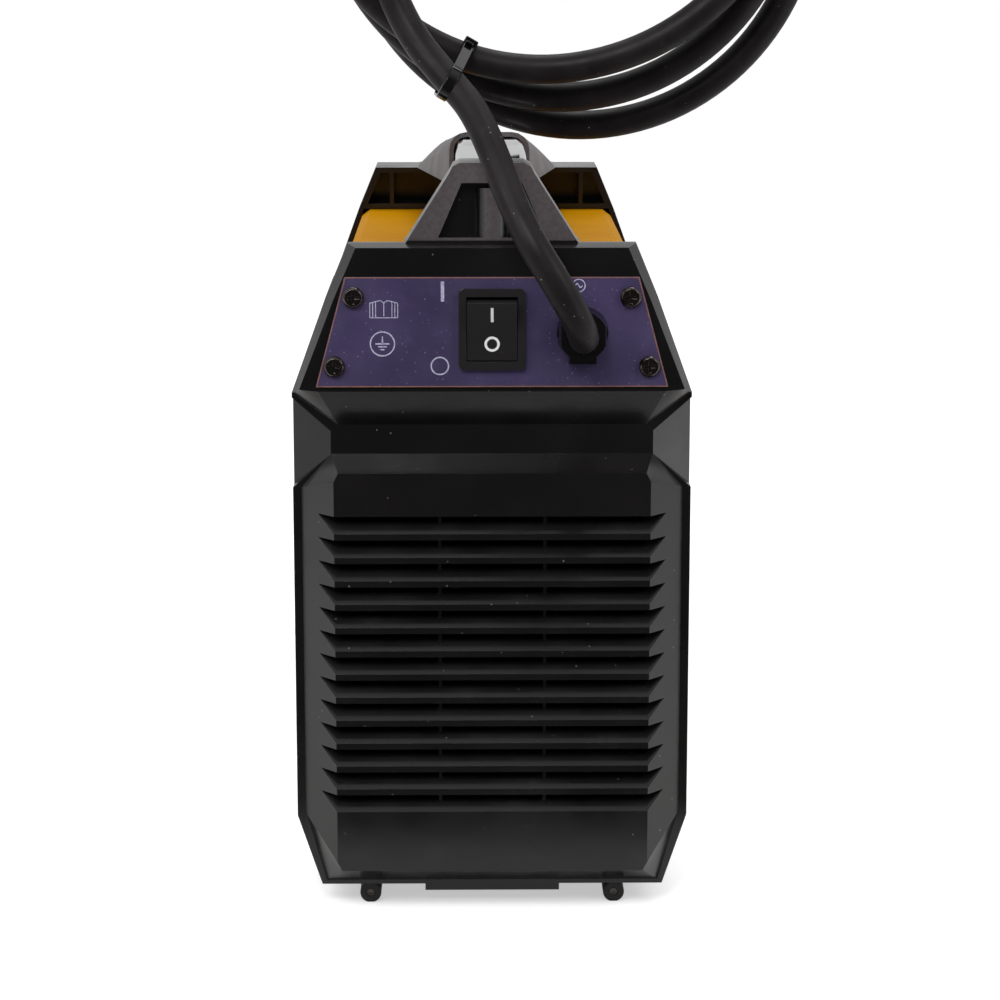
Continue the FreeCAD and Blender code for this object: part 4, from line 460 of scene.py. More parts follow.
FINISHES = {maker.__name__.removeprefix("make_"): maker() for maker in (
    make_black_shell, make_yellow_sheet, make_tray_sheet, make_label_film, make_black_screw,
    make_zinc_screw, make_switch_black, make_relief_black, make_cord_rubber, make_foot_rubber,
    make_grip_gloss, make_fan_plastic, make_board_green, make_can_sleeve, make_sink_aluminium,
    make_device_epoxy, make_ferrite, make_copper_winding, make_brass_contact, make_copper_bar,
    make_socket_black, make_knob_black, make_window_smoke, make_lamp_lens, make_foam,
    make_relay_blue,
)}
PALE_PRINT = make_pale_print()
WHITE_PRINT = make_white_print()
FILM_EDGE = make_film_edge()
DARK_SEGMENTS = make_dark_segments()


# Mesh helpers

def place_piece(name, data, body, slot, material=None):
    """Link a finished piece, give it its finish and attach it to its body."""
    piece = bpy.data.objects.new(name, data)
    scene.collection.objects.link(piece)
    data.materials.append(material or FINISHES[slot])
    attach(piece, body)
    return piece


def as_mesh(name, build):
    """A mesh from a bmesh, which is freed."""
    mesh = bpy.data.meshes.new(name)
    build.to_mesh(mesh)
    build.free()
    return mesh


def closed_mesh(name, build):
    """A smooth mesh from a bmesh, its doubles merged and its faces turned outwards."""
    bmesh.ops.remove_doubles(build, verts=build.verts, dist=1e-6)
    bmesh.ops.recalc_face_normals(build, faces=build.faces)
    mesh = as_mesh(name, build)
    mesh.shade_smooth()
    return mesh


def soften_edges(piece, width, angle=32, segments=2):
    """Round the hard edges and keep the flat faces flat."""
    bevel = piece.modifiers.new("edge", "BEVEL")
    bevel.width = width * MM
    bevel.segments = segments
    bevel.limit_method = "ANGLE"
    bevel.angle_limit = math.radians(angle)
    weighted = piece.modifiers.new("flat", "WEIGHTED_NORMAL")
    weighted.keep_sharp = False
    return piece


def merged_copy(node):
    """A bmesh of a solid, its doubles merged and its flat faces made whole."""
    build = bmesh.new()
    build.from_mesh(NODES[node].data)
    bmesh.ops.remove_doubles(build, verts=build.verts, dist=2e-6)
    bmesh.ops.dissolve_limit(build, angle_limit=math.radians(0.5), verts=build.verts,
                             edges=build.edges)
    return build


def round_corners(build, radius):
    """Round the edges along Y that stand at a solid's outermost four corners."""
    wide = max(vertex.co.x for vertex in build.verts) - 0.01 * MM
    low = min(vertex.co.z for vertex in build.verts) + 0.01 * MM
    high = max(vertex.co.z for vertex in build.verts) - 0.01 * MM
    corners = {vertex for vertex in build.verts
               if abs(vertex.co.x) > wide and not low < vertex.co.z < high}
    edges = [edge for edge in build.edges
             if corners.issuperset(edge.verts) and abs(edge.verts[0].co.x - edge.verts[1].co.x) < MM
             and abs(edge.verts[0].co.z - edge.verts[1].co.z) < MM]
    bmesh.ops.bevel(build, geom=edges, offset=radius * MM, offset_type="OFFSET", segments=5,
                    profile=0.5, affect="EDGES")


def soften(node, width, angle=32, segments=2, corner=0.0):
    """A copy of a solid with rounded edges, which takes its place."""
    build = merged_copy(node)
    if corner:
        round_corners(build, corner)
    mesh = as_mesh(node + "_soft", build)
    mesh.shade_smooth()
    piece = place_piece(node + "_soft", mesh, BODY_OF[node], SLOT_OF[node])
    soften_edges(piece, width, angle, segments)
    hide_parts(node)
    return piece


# Mains cord: a lead from the strain relief up to the handle, then loose loops, then the plug

CORD = 11.5
MOUTH = Vector((34.4, -207.8, 230.0))
LEAD_SHARES = ((0, 0, 0), (0, -0.95, 0), (-0.12, -1.72, 0.46), (-0.47, -2.22, 1.20),
               (-1.08, -2.38, 2.25), (-1.82, -2.06, 3.41), (-2.45, -1.06, 4.71),
               (-3.03, 0.07, 6.21))
LEAD_IN_SHARE = 1.13
COIL_RADIUS = 91.0
COIL_PITCH = 12.8
COIL_BASE = Vector((0, -157.0, 293.3))
COIL_START = 222.0
COIL_TURNS = 3.4
COIL_CENTRE_SHARES = ((0.0, 0.516, 1.068), (0.867, 0.208, 1.374), (1.867, 0.297, 1.247),
                      (2.867, 0.387, 1.117), (3.4, 0.390, 1.180))
REFERENCE_TURN = 0.867
LEAD_IN = (13.0, 0.07)
LEAD_OUT = (26.0, 0.4)
COIL_STEPS = 54


def coil_point(turn, radius=COIL_RADIUS):
    """A point on the loops after so many turns, in millimetres."""
    step = sum(1 for knot in COIL_CENTRE_SHARES[1:-1] if knot[0] <= turn)
    before, after = COIL_CENTRE_SHARES[step], COIL_CENTRE_SHARES[step + 1]
    share = (turn - before[0]) / (after[0] - before[0])
    eased = share * share * (3 - 2 * share)
    across = before[1] + (after[1] - before[1]) * eased
    up = before[2] + (after[2] - before[2]) * eased
    angle = math.radians(COIL_START - 360 * turn)
    ahead = COIL_PITCH * (turn - REFERENCE_TURN)
    ahead -= LEAD_IN[0] * max(0, 1 - turn / LEAD_IN[1]) ** 2
    ahead += LEAD_OUT[0] * max(0, 1 - (COIL_TURNS - turn) / LEAD_OUT[1]) ** 2
    return COIL_BASE + Vector((COIL_RADIUS * across + radius * math.cos(angle), ahead,
                               COIL_RADIUS * up + radius * math.sin(angle)))


def coil_heading(turn):
    """The way that the cord runs there."""
    nudge = 0.0005
    first, last = max(0, turn - nudge), min(COIL_TURNS, turn + nudge)
    return (coil_point(last) - coil_point(first)).normalized()


def cord_route():
    """The control points of the whole cord, in millimetres."""
    points = [MOUTH + Vector(shares) * CORD for shares in LEAD_SHARES]
    joint = coil_point(0) - coil_heading(0) * CORD
    points.append(joint - coil_heading(0) * CORD * LEAD_IN_SHARE)
    points.append(joint)
    step = COIL_TURNS / COIL_STEPS
    reach = COIL_RADIUS / math.cos(math.pi * step)
    points += [coil_point((index + 0.5) * step, reach) for index in range(COIL_STEPS)]
    points.append(coil_point(COIL_TURNS) + coil_heading(COIL_TURNS) * CORD)
    return points


def cord_curve(name, depth):
    """The cord's one smooth spline, as thick as it is told."""
    curve = bpy.data.curves.new(name, "CURVE")
    curve.dimensions = "3D"
    curve.resolution_u = 8
    curve.bevel_depth = depth * MM
    curve.bevel_resolution = 6
    curve.use_fill_caps = True
    spline = curve.splines.new("NURBS")
    route = cord_route()
    spline.points.add(len(route) - 1)
    for point, place in zip(spline.points, route):
        point.co = (*(place * MM), 1.0)
    spline.order_u = 3
    spline.use_endpoint_u = True
    spline.use_smooth = True
    return curve


def cord_line():
    """Points along the middle of the cord, in millimetres."""
    probe = bpy.data.objects.new("cord_probe", cord_curve("cord_probe", 0))
    mesh = bpy.data.meshes.new_from_object(probe)
    points = [vertex.co / MM for vertex in mesh.vertices]
    bpy.data.objects.remove(probe)
    bpy.data.meshes.remove(mesh)
    return points


def lathe(build, origin, axis, side, profile, steps):
    """Turn a profile of (way along, radius) round an axis, ends closed."""
    other = axis.cross(side)
    rings = []
    for along, radius in profile:
        centre = origin + axis * along
        ring = [build.verts.new((centre + (side * math.cos(angle) + other * math.sin(angle))
                                 * radius) * MM)
                for angle in (2 * math.pi * index / steps for index in range(steps))]
        rings.append(ring)
    for ring, following in zip(rings, rings[1:]):
        for index in range(steps):
            ahead = (index + 1) % steps
            build.faces.new((ring[index], ring[ahead], following[ahead], following[index]))
    build.faces.new(rings[0])
    build.faces.new(rings[-1])


PLUG_SLEEVE_LENGTH = 22.0
PLUG_LENGTH = 34.0
PLUG_RADIUS = 17.0
PLUG_SIDES = 48
SLEEVE_RIBS = 6
SLEEVE_END = 2.0
RIB_START = 0.5
RIB_RADIUS = 7.5
RIB_GROWTH = 0.7
# The body's outline past the sleeve, as way along and radius
PLUG_BODY = ((-1, 11.6), (1.5, 13.4), (5, 14.8), (12, 14.9), (18, 14.2), (23, 14.9), (26, 16.6),
             (27, PLUG_RADIUS), (33, PLUG_RADIUS), (PLUG_LENGTH, 16.2))
PIN_LENGTH = 19.0
PIN_RADIUS = 2.4
PIN_PLACE = 9.5
PIN_SINK = 1.0
PIN_SIDES = 20


def make_plug():
    """A moulded round plug: ribbed sleeve, waisted body with a rim, and two pins."""
    origin = coil_point(COIL_TURNS) + coil_heading(COIL_TURNS) * CORD
    axis = coil_heading(COIL_TURNS)
    tips = [vertex.co / MM for vertex in NODES["plug"].data.vertices
            if (vertex.co / MM - origin).dot(axis) > PLUG_SLEEVE_LENGTH + PLUG_LENGTH + 2]
    middle = sum(tips, Vector()) / len(tips)
    side = max((tip - middle for tip in tips), key=lambda gap: (gap - axis * gap.dot(axis)).length)
    side = (side - axis * side.dot(axis)).normalized()
    profile = [(0.0, RIB_RADIUS - 0.9)]
    pitch = (PLUG_SLEEVE_LENGTH - SLEEVE_END) / SLEEVE_RIBS
    for rib in range(SLEEVE_RIBS):
        start, radius = RIB_START + rib * pitch, RIB_RADIUS + RIB_GROWTH * rib
        profile += [(start, radius - 0.9), (start + 0.4, radius), (start + pitch * 0.55, radius + 0.1),
                    (start + pitch * 0.7, radius - 0.8)]
    profile += [(PLUG_SLEEVE_LENGTH + along, radius) for along, radius in PLUG_BODY]
    build = bmesh.new()
    lathe(build, origin, axis, side, profile, PLUG_SIDES)
    shell = place_piece("plug_body", closed_mesh("plug_body", build), "case", "cord_rubber",
                        FINISHES["relief_black"])
    soften_edges(shell, 0.3, 50)
    pins = bmesh.new()
    foot = PLUG_SLEEVE_LENGTH + PLUG_LENGTH - PIN_SINK
    for way in (-1, 1):
        root = origin + side * way * PIN_PLACE
        lathe(pins, root, axis, side,
              [(foot, PIN_RADIUS), (foot + PIN_LENGTH - 1, PIN_RADIUS),
               (foot + PIN_LENGTH + 0.4, PIN_RADIUS * 0.8), (foot + PIN_LENGTH + 1, 1.0)],
              PIN_SIDES)
    prongs = place_piece("plug_pins", closed_mesh("plug_pins", pins), "case", "cord_rubber",
                         FINISHES["zinc_screw"])
    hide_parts("plug")
    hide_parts("plug")
    return shell, prongs


TIE_CENTRE_SHARES = Vector((0.09, 0.232, 0.0))
TIE_LEAN = math.radians(60)
TIE_BAND = 4.5
TIE_GAUGE = 1.1
TIE_REACH = 48.0
TIE_SLACK = 0.25
STRAND_STEPS = 32
LEAST_SLOPE = 0.5
# The band's section, as shares of its gauge and its width
TIE_SECTION_SHARES = ((0, -0.5), (1, -0.42), (1, 0.42), (0, 0.5))
# The head and the tail, each as size and place by the band's tip
TIE_BLOCKS = (((4.6, 4.8, 5.4), (-0.6, -2.2, 0.0)), ((1.3, 4.0, 3.4), (-0.2, -6.2, 0.4)))


def make_tie(line):
    """A nylon tie pulled tight round the strands that cross its plane, with its head and tail."""
    centre = coil_point(0) + TIE_CENTRE_SHARES * COIL_RADIUS
    across = Vector((math.cos(TIE_LEAN), 0, math.sin(TIE_LEAN)))
    ahead = Vector((0, 1, 0))
    upright = Vector((-math.sin(TIE_LEAN), 0, math.cos(TIE_LEAN)))
    rim = []
    for start, end in zip(line, line[1:]):
        low, high = (start - centre).dot(upright), (end - centre).dot(upright)
        if low * high > 0 or (start - centre).length > TIE_REACH:
            continue
        crossing = start.lerp(end, low / (low - high)) - centre
        heading = (end - start).normalized()
        slope = heading.dot(upright)
        flat = Vector((heading.dot(across), heading.dot(ahead)))
        flat = flat.normalized() if flat.length > 1e-6 else Vector((1, 0))
        square = Vector((-flat.y, flat.x))
        radius = CORD / 2 + TIE_SLACK
        for index in range(STRAND_STEPS):
            angle = 2 * math.pi * index / STRAND_STEPS
            rim.append(Vector((crossing.dot(across), crossing.dot(ahead)))
                       + flat * radius / max(abs(slope), LEAST_SLOPE) * math.cos(angle)
                       + square * radius * math.sin(angle))
    hull = [rim[index] for index in convex_hull_2d(rim)]
    build = bmesh.new()
    stations = []
    for index, point in enumerate(hull):
        tangent = (hull[(index + 1) % len(hull)] - hull[index - 1]).normalized()
        out = Vector((tangent.y, -tangent.x))
        if out.dot(point - sum(hull, Vector((0, 0))) / len(hull)) < 0:
            out = -out
        ring = []
        for depth, height in TIE_SECTION_SHARES:
            spot = point + out * depth * TIE_GAUGE
            ring.append(build.verts.new((centre + across * spot.x + ahead * spot.y
                                         + upright * height * TIE_BAND) * MM))
        stations.append(ring)
    for ring, following in zip(stations, stations[1:] + stations[:1]):
        for index in range(4):
            follow = (index + 1) % 4
            build.faces.new((ring[index], ring[follow], following[follow], following[index]))
    band = place_piece("tie_band", closed_mesh("tie_band", build), "case", "relief_black")
    soften_edges(band, 0.15, 40)

    tip = max(hull, key=lambda point: point.x * 5 - point.y)
    head = bmesh.new()
    for size, offset in TIE_BLOCKS:
        made = bmesh.ops.create_cube(head, size=1)
        for vertex in made["verts"]:
            local = Vector([vertex.co[axis] * size[axis] + offset[axis] for axis in range(3)])
            vertex.co = (centre + across * (tip.x + local.x) + ahead * (tip.y + local.y)
                         + upright * local.z) * MM
    block = place_piece("tie_head", closed_mesh("tie_head", head), "case", "relief_black")
    soften_edges(block, 0.5, 40, 3)
    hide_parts("cable_tie")
    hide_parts("cable_tie")
    return band, block


RELIEF_TAPER = 0.1
RELIEF_SEAT = -198.8


def make_strain_relief():
    """The gland, its head drawn in a little towards the cord."""
    piece = soften("strain_relief", 0.7, 32, 3)
    for vertex in piece.data.vertices:
        out = (RELIEF_SEAT * MM - vertex.co.y) / (RELIEF_SEAT - MOUTH.y) / MM
        if out > 0:
            draw = 1 - RELIEF_TAPER * min(out, 1)
            vertex.co.x = MOUTH.x * MM + (vertex.co.x - MOUTH.x * MM) * draw
            vertex.co.z = MOUTH.z * MM + (vertex.co.z - MOUTH.z * MM) * draw
    return piece


def make_cord():
    """The whole cord with its gland, tie and plug."""
    cord = place_piece("mains_cord", cord_curve("mains_cord", CORD / 2), "case", "cord_rubber")
    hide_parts("cord_lead", "cord_coil")
    shell, prongs = make_plug()
    band, block = make_tie(cord_line())
    gland = make_strain_relief()


make_cord()


# Rounded edges on the solids that show

SOFT_EDGES = (
    ("rear_frame", 0.5), ("front_frame", 0.5), ("handle_front_arm", 0.5), ("handle_grip", 0.8),
    ("handle_underside", 0.4), ("switch_housing", 0.9), ("switch_rocker", 0.3),
    ("positive_socket", 0.5), ("negative_socket", 0.5), ("feet", 0.5),
    ("top_cover", 0.25), ("base_tray", 0.2), ("rear_label_plate", 0.12),
    ("front_label_plate", 0.12), ("rear_label_screws", 0.2), ("front_label_screws", 0.2),
    ("cover_screws", 0.2), ("frame_screws", 0.2), ("base_screws", 0.2), ("arm_screws", 0.2),
    ("foot_screws", 0.15), ("handle_screws", 0.2), ("fan_frame", 0.5), ("fan_rotor", 0.3),
    ("display_window", 0.3),
)
# The frames' slight turns are rounded too, and the steps of the bezel's round corners aren't
LEAST_TURNS = {"rear_frame": 10, "front_frame": 10, "switch_housing": 40}
CORNERS = {"switch_housing": 2.2}
for soft_node, edge_width in SOFT_EDGES:
    soften(soft_node, edge_width, LEAST_TURNS.get(soft_node, 32), corner=CORNERS.get(soft_node, 0))


KNOB_SINK = 0.1


def make_knob():
    """The knob, its face drawn in by as much as its printed pointer stands up."""
    knob = soften("current_knob", 0.35)
    face = max(vertex.co.y for vertex in knob.data.vertices)
    for vertex in knob.data.vertices:
        if vertex.co.y > face - 0.01 * MM:
            vertex.co.y -= KNOB_SINK * MM


make_knob()


# Printed marks

def stroke(points, width, closed=False):
    """Quads of one width along a line of (x, z) points, mitred at its corners."""
    count = len(points)
    sides = []
    for index, point in enumerate(points):
        here = Vector(point)
        before = Vector(points[index - 1]) if closed or index else here
        after = Vector(points[(index + 1) % count]) if closed or index < count - 1 else here
        way_in = (here - before).normalized() if here != before else (after - here).normalized()
        way_out = (after - here).normalized() if after != here else way_in
        normal = Vector((-(way_in + way_out).y, (way_in + way_out).x)).normalized()
        lean = max(0.35, normal.dot(Vector((-way_in.y, way_in.x))))
        offset = normal * width / 2 / lean
        sides.append((here - offset, here + offset))
    spans = zip(sides, sides[1:] + sides[:1]) if closed else zip(sides, sides[1:])
    return [(a[0], b[0], b[1], a[1]) for a, b in spans]


def arc_points(x, z, radius, start=0, end=360, steps=36):
    """Points along an arc, the last one left off when it closes."""
    count = steps if abs(end - start) >= 360 else steps + 1
    return [(x + radius * math.cos(math.radians(start + (end - start) * index / steps)),
             z + radius * math.sin(math.radians(start + (end - start) * index / steps)))
            for index in range(count)]


def ring(x, z, radius, width):
    return stroke(arc_points(x, z, radius), width, closed=True)


SURFACES = {}
RAY_START = 0.4


def surface_of(node):
    """A search tree of a solid's own faces."""
    if node not in SURFACES:
        build = bmesh.new()
        build.from_mesh(NODES[node].data)
        SURFACES[node] = BVHTree.FromBMesh(build)
        build.free()
    return SURFACES[node]


def print_mark(name, quads, node, side, material, thickness=0.08, sunk=0.0):
    """Thin ink laid on a solid's face, seen from behind (side -1) or from ahead (side 1)."""
    tree = surface_of(node)
    build = bmesh.new()
    for quad in quads:
        foot = []
        for x, z in quad:
            start = Vector((x * MM, side * RAY_START, z * MM))
            hit = tree.ray_cast(start, Vector((0, -side, 0)))[0]
            foot.append(hit and hit - Vector((0, side * sunk * MM, 0)))
        if None in foot:
            raise ValueError(name + " runs off " + node)
        low = [build.verts.new(point) for point in foot]
        high = [build.verts.new(point + Vector((0, side * thickness * MM, 0))) for point in foot]
        build.faces.new(low)
        build.faces.new(high)
        for index in range(4):
            follow = (index + 1) % 4
            build.faces.new((low[index], low[follow], high[follow], high[index]))
    bmesh.ops.recalc_face_normals(build, faces=build.faces)
    return place_piece(name, as_mesh(name, build), BODY_OF[node], SLOT_OF[node], material)


def open_book(x, z, width, height):
    """The plain sign of an open book."""
    half, top, foot = width / 2, height / 2, -height / 2
    lines = [[(-half, foot), (half, foot)], [(-half, foot), (-half, top - 1)],
             [(-half + 1.1, foot), (-half + 1.1, top - 0.7)],
             [(-half + 2.2, foot), (-half + 2.2, top - 0.4)], [(half, foot), (half, top - 1)],
             [(half - 1.1, foot), (half - 1.1, top - 0.7)],
             [(half - 2.2, foot), (half - 2.2, top - 0.4)], [(0, foot + 0.6), (0, top - 1)],
             [(-half, top - 1), (-half + 2.2, top - 0.4), (-1.2, top), (0, top - 1), (1.2, top),
              (half - 2.2, top - 0.4), (half, top - 1)]]
    quads = []
    for line in lines:
        quads += stroke([(x + u, z + v) for u, v in line], 0.32)
    return quads


def earth_sign(x, z, radius):
    """The plain sign of protective earth in a ring."""
    quads = ring(x, z, radius, 0.5)
    quads += stroke([(x, z + radius * 0.62), (x, z)], 0.5)
    for drop, half in ((0, 0.58), (0.24, 0.36), (0.48, 0.16)):
        quads += stroke([(x - radius * half, z - radius * drop), (x + radius * half, z - radius * drop)],
                        0.5)
    return quads


def wave_sign(x, z, radius):
    """The plain sign of alternating current in a ring."""
    wave = [(x + radius * 0.55 * (step / 8 - 1), z + radius * 0.3 * math.sin(math.pi * step / 8))
            for step in range(17)]
    return ring(x, z, radius, 0.38) + stroke(wave, 0.38)


LABEL_CORNERS = ((-67.3, 209.3), (67.3, 209.3), (56.0, 251.5), (-56.0, 251.5))
EDGE_STRIP = 0.4
EDGE_INSET = EDGE_STRIP / 2 + 0.05
FLANK_INSET = EDGE_INSET * 1.4
EDGE_THICKNESS = 0.05


def label_border():
    """The label's outline, drawn in by half the strip's width and a little more."""
    middle = sum(z for x, z in LABEL_CORNERS) / len(LABEL_CORNERS)
    return [(x - math.copysign(FLANK_INSET, x), z + math.copysign(EDGE_INSET, middle - z))
            for x, z in LABEL_CORNERS]


# Where the signs stand on the rear label, as (x, z)
ON_SIGN = ((-18.8, 242.2), (-18.8, 249.8))
OFF_SIGN = (-19.9, 217.5)
BOOK_SIGN = (-41.1, 239.3)
EARTH_SIGN = (-41.7, 226.0)
WAVE_SIGN = (32.9, 248.2)
ROCKER_ON = ((0, 234.7), (0, 240.3))
ROCKER_OFF = (0, 226.1)


def make_rear_marks():
    signs = stroke(ON_SIGN, 1.3)
    signs += ring(*OFF_SIGN, 3.3, 0.55)
    signs += open_book(*BOOK_SIGN, 10.6, 6.6)
    signs += earth_sign(*EARTH_SIGN, 4.6)
    signs += wave_sign(*WAVE_SIGN, 2.4)
    print_mark("rear_signs", signs, "rear_label_plate", -1, PALE_PRINT)
    print_mark("rear_label_edge", stroke(label_border(), EDGE_STRIP, closed=True),
               "rear_label_plate", -1, FILM_EDGE, EDGE_THICKNESS)
    print_mark("rocker_signs", stroke(ROCKER_ON, 1.05) + ring(*ROCKER_OFF, 2.45, 0.95),
               "switch_rocker", -1, WHITE_PRINT)


make_rear_marks()


# Patterns on a ring: the dial's ticks and the choke's wire turns

RING_INPUTS = {"Count": "Int", "Sweep": "Float", "Radius": "Float", "Centre": "Vector",
               "Finish": "Material"}


def new_tree(name, sockets):
    """An empty geometry node tree, and the sockets of its named inputs."""
    tree = bpy.data.node_groups.new(name, "GeometryNodeTree")
    tree.interface.new_socket("Geometry", in_out="OUTPUT", socket_type="NodeSocketGeometry")
    for word, kind in sockets.items():
        tree.interface.new_socket(word, in_out="INPUT", socket_type="NodeSocket" + kind)
    return tree, add(tree, "NodeGroupInput").outputs


def set_round(tree, given, shape, share, way, axis):
    """Copies of a shape on a ring, at shares of its sweep, made real and given their finish."""
    swept = add(tree, "ShaderNodeMath", {0: share, 1: given["Sweep"]}, operation="MULTIPLY")
    angle = swept.outputs[0]
    sine = add(tree, "ShaderNodeMath", {0: angle}, operation="SINE").outputs[0]
    cosine = add(tree, "ShaderNodeMath", {0: angle}, operation="COSINE").outputs[0]
    heading = add(tree, "ShaderNodeCombineXYZ", dict(zip(way, (cosine, sine))))
    out = add(tree, "ShaderNodeVectorMath", {0: heading.outputs[0], "Scale": given["Radius"]},
              operation="SCALE")
    spot = add(tree, "ShaderNodeVectorMath", {0: out.outputs[0], 1: given["Centre"]}, operation="ADD")
    turn = add(tree, "ShaderNodeCombineXYZ", {axis: angle})
    points = add(tree, "GeometryNodePoints", {"Count": given["Count"], "Position": spot.outputs[0]})
    placed = add(tree, "GeometryNodeInstanceOnPoints",
                 {"Points": points.outputs[0], "Instance": shape, "Rotation": turn.outputs[0]})
    real = add(tree, "GeometryNodeRealizeInstances", {"Geometry": placed.outputs[0]})
    coated = add(tree, "GeometryNodeSetMaterial",
                 {"Geometry": real.outputs[0], "Material": given["Finish"]})
    add(tree, "NodeGroupOutput", {0: coated.outputs[0]})


def tick_tree():
    """Geometry nodes that set dial ticks round a knob, half of them each side of its top."""
    tree, given = new_tree("dial_ticks", {**RING_INPUTS, "Tick Size": "Vector"})
    last = add(tree, "ShaderNodeMath", {0: given["Count"], 1: 1.0}, operation="SUBTRACT")
    index = add(tree, "GeometryNodeInputIndex")
    share = add(tree, "ShaderNodeMath", {0: index.outputs[0], 1: last.outputs[0]}, operation="DIVIDE")
    centred = add(tree, "ShaderNodeMath", {0: share.outputs[0], 1: 0.5}, operation="SUBTRACT")
    tick = add(tree, "GeometryNodeMeshCube", {"Size": given["Tick Size"]})
    set_round(tree, given, tick.outputs["Mesh"], centred.outputs[0], "ZX", "Y")
    return tree


def turns_tree():
    """Geometry nodes that wind wire loops round a ring core."""
    tree, given = new_tree("choke_turns", {**RING_INPUTS, "Loop Width": "Float",
                                           "Loop Height": "Float", "Wire Radius": "Float"})
    loop = add(tree, "GeometryNodeCurvePrimitiveQuadrilateral",
               {"Width": given["Loop Width"], "Height": given["Loop Height"]})
    rounded = add(tree, "GeometryNodeFilletCurve",
                  {"Curve": loop.outputs[0], "Radius": given["Wire Radius"], "Count": 3}, mode="POLY")
    stood = add(tree, "GeometryNodeTransform",
                {"Geometry": rounded.outputs[0], "Rotation": (math.pi / 2, 0, 0)})
    wire = add(tree, "GeometryNodeCurvePrimitiveCircle",
               {"Resolution": 8, "Radius": given["Wire Radius"]})
    swept = add(tree, "GeometryNodeCurveToMesh",
                {"Curve": stood.outputs[0], "Profile Curve": wire.outputs[0]})
    index = add(tree, "GeometryNodeInputIndex")
    share = add(tree, "ShaderNodeMath", {0: index.outputs[0], 1: given["Count"]}, operation="DIVIDE")
    set_round(tree, given, swept.outputs[0], share.outputs[0], "XY", "Z")
    return tree


def grown(name, tree, values):
    """The plain mesh that a node tree makes from named values."""
    seed = bpy.data.objects.new(name, bpy.data.meshes.new(name))
    scene.collection.objects.link(seed)
    modifier = seed.modifiers.new("grow", "NODES")
    modifier.node_group = tree
    for item in tree.interface.items_tree:
        if item.in_out == "INPUT" and item.name in values:
            modifier[item.identifier] = values[item.name]
    graph = bpy.context.evaluated_depsgraph_get()
    mesh = bpy.data.meshes.new_from_object(seed.evaluated_get(graph))
    mesh.name = name
    bpy.data.objects.remove(seed)
    return mesh


CHOKE_TURNS = 22
CHOKE_RADIUS = 19.0
LOOP_WIDTH = 14.6
LOOP_HEIGHT = 22.6
WIRE_RADIUS = 1.1


def make_choke_turns():
    low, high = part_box("output_choke_core")
    values = {"Count": CHOKE_TURNS, "Sweep": math.radians(300), "Radius": CHOKE_RADIUS * MM,
              "Loop Width": LOOP_WIDTH * MM, "Loop Height": LOOP_HEIGHT * MM,
              "Wire Radius": WIRE_RADIUS * MM, "Centre": tuple((low + high) / 2),
              "Finish": FINISHES["copper_winding"]}
    mesh = grown("choke_turns", turns_tree(), values)
    mesh.shade_smooth()
    piece = place_piece("choke_turns", mesh, "case", "copper_winding")
    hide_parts("output_choke_winding")


# Front panel marks

KNOB = (30.0, 229.0)
FRONT_FILM = 188.8
DIAL_SWEEP = 300
DIAL_TICKS = 21
DIAL_RADIUS = 15.4
TICK_SIZE = (0.35, 0.1, 1.6)
NUMBER_RADIUS = 18.4
NUMBER_HEIGHT = 3.4
NUMBER_LIFT = 0.02
POINTER_REACH = (3.0, 11.2)
DIGITS_X = (-10.5, -22.0, -33.5)
DIGITS_Z = 231.5
DIGIT_WIDTH = 6.4
DIGIT_HEIGHT = 11.0
OUTPUT_X = 33.0
OUTPUT_Z = 78.5
OUTPUT_REACH = 3.0
OUTPUT_STROKE = 1.3


def numerals(name, entries, height, y):
    """Flat numbers on the front, made meshes before they are put in place."""
    build = bmesh.new()
    for word, x, z in entries:
        text = bpy.data.curves.new("numeral", "FONT")
        text.body = word
        text.size = height * MM
        text.align_x = "CENTER"
        text.align_y = "CENTER"
        text.extrude = 0.04 * MM
        holder = bpy.data.objects.new("numeral", text)
        mesh = bpy.data.meshes.new_from_object(holder)
        mesh.transform(Matrix(((-1, 0, 0, x * MM), (0, 0, 1, y * MM), (0, 1, 0, z * MM), (0, 0, 0, 1))))
        build.from_mesh(mesh)
        bpy.data.objects.remove(holder)
        bpy.data.meshes.remove(mesh)
    return as_mesh(name, build)


def digit_bars(x, z, width, height):
    """The seven bars of one unlit digit."""
    half, tall = width / 2, height / 2
    inner, low = half - 0.5, tall - 0.5
    across = [[(x - inner, z + level), (x + inner, z + level)] for level in (-tall, 0, tall)]
    upright = [[(x + way * half, z + way_z * 0.5), (x + way * half, z + way_z * low)]
               for way in (-1, 1) for way_z in (-1, 1)]
    quads = []
    for line in across + upright:
        quads += stroke(line, 0.9)
    return quads


def make_dial():
    """The ticks round the knob and the numbers past them."""
    values = {"Count": DIAL_TICKS, "Sweep": math.radians(DIAL_SWEEP), "Radius": DIAL_RADIUS * MM,
              "Tick Size": tuple(side * MM for side in TICK_SIZE),
              "Centre": (KNOB[0] * MM, FRONT_FILM * MM, KNOB[1] * MM), "Finish": PALE_PRINT}
    place_piece("dial_ticks", grown("dial_ticks", tick_tree(), values), "case", "label_film",
                PALE_PRINT)
    entries = []
    for number in range(0, 11, 2):
        angle = math.radians(DIAL_SWEEP / 2 - DIAL_SWEEP / 10 * number)
        entries.append((str(number), KNOB[0] + NUMBER_RADIUS * math.sin(angle),
                        KNOB[1] + NUMBER_RADIUS * math.cos(angle)))
    place_piece("dial_numbers", numerals("dial_numbers", entries, NUMBER_HEIGHT,
                                         FRONT_FILM + NUMBER_LIFT),
                "case", "label_film", PALE_PRINT)


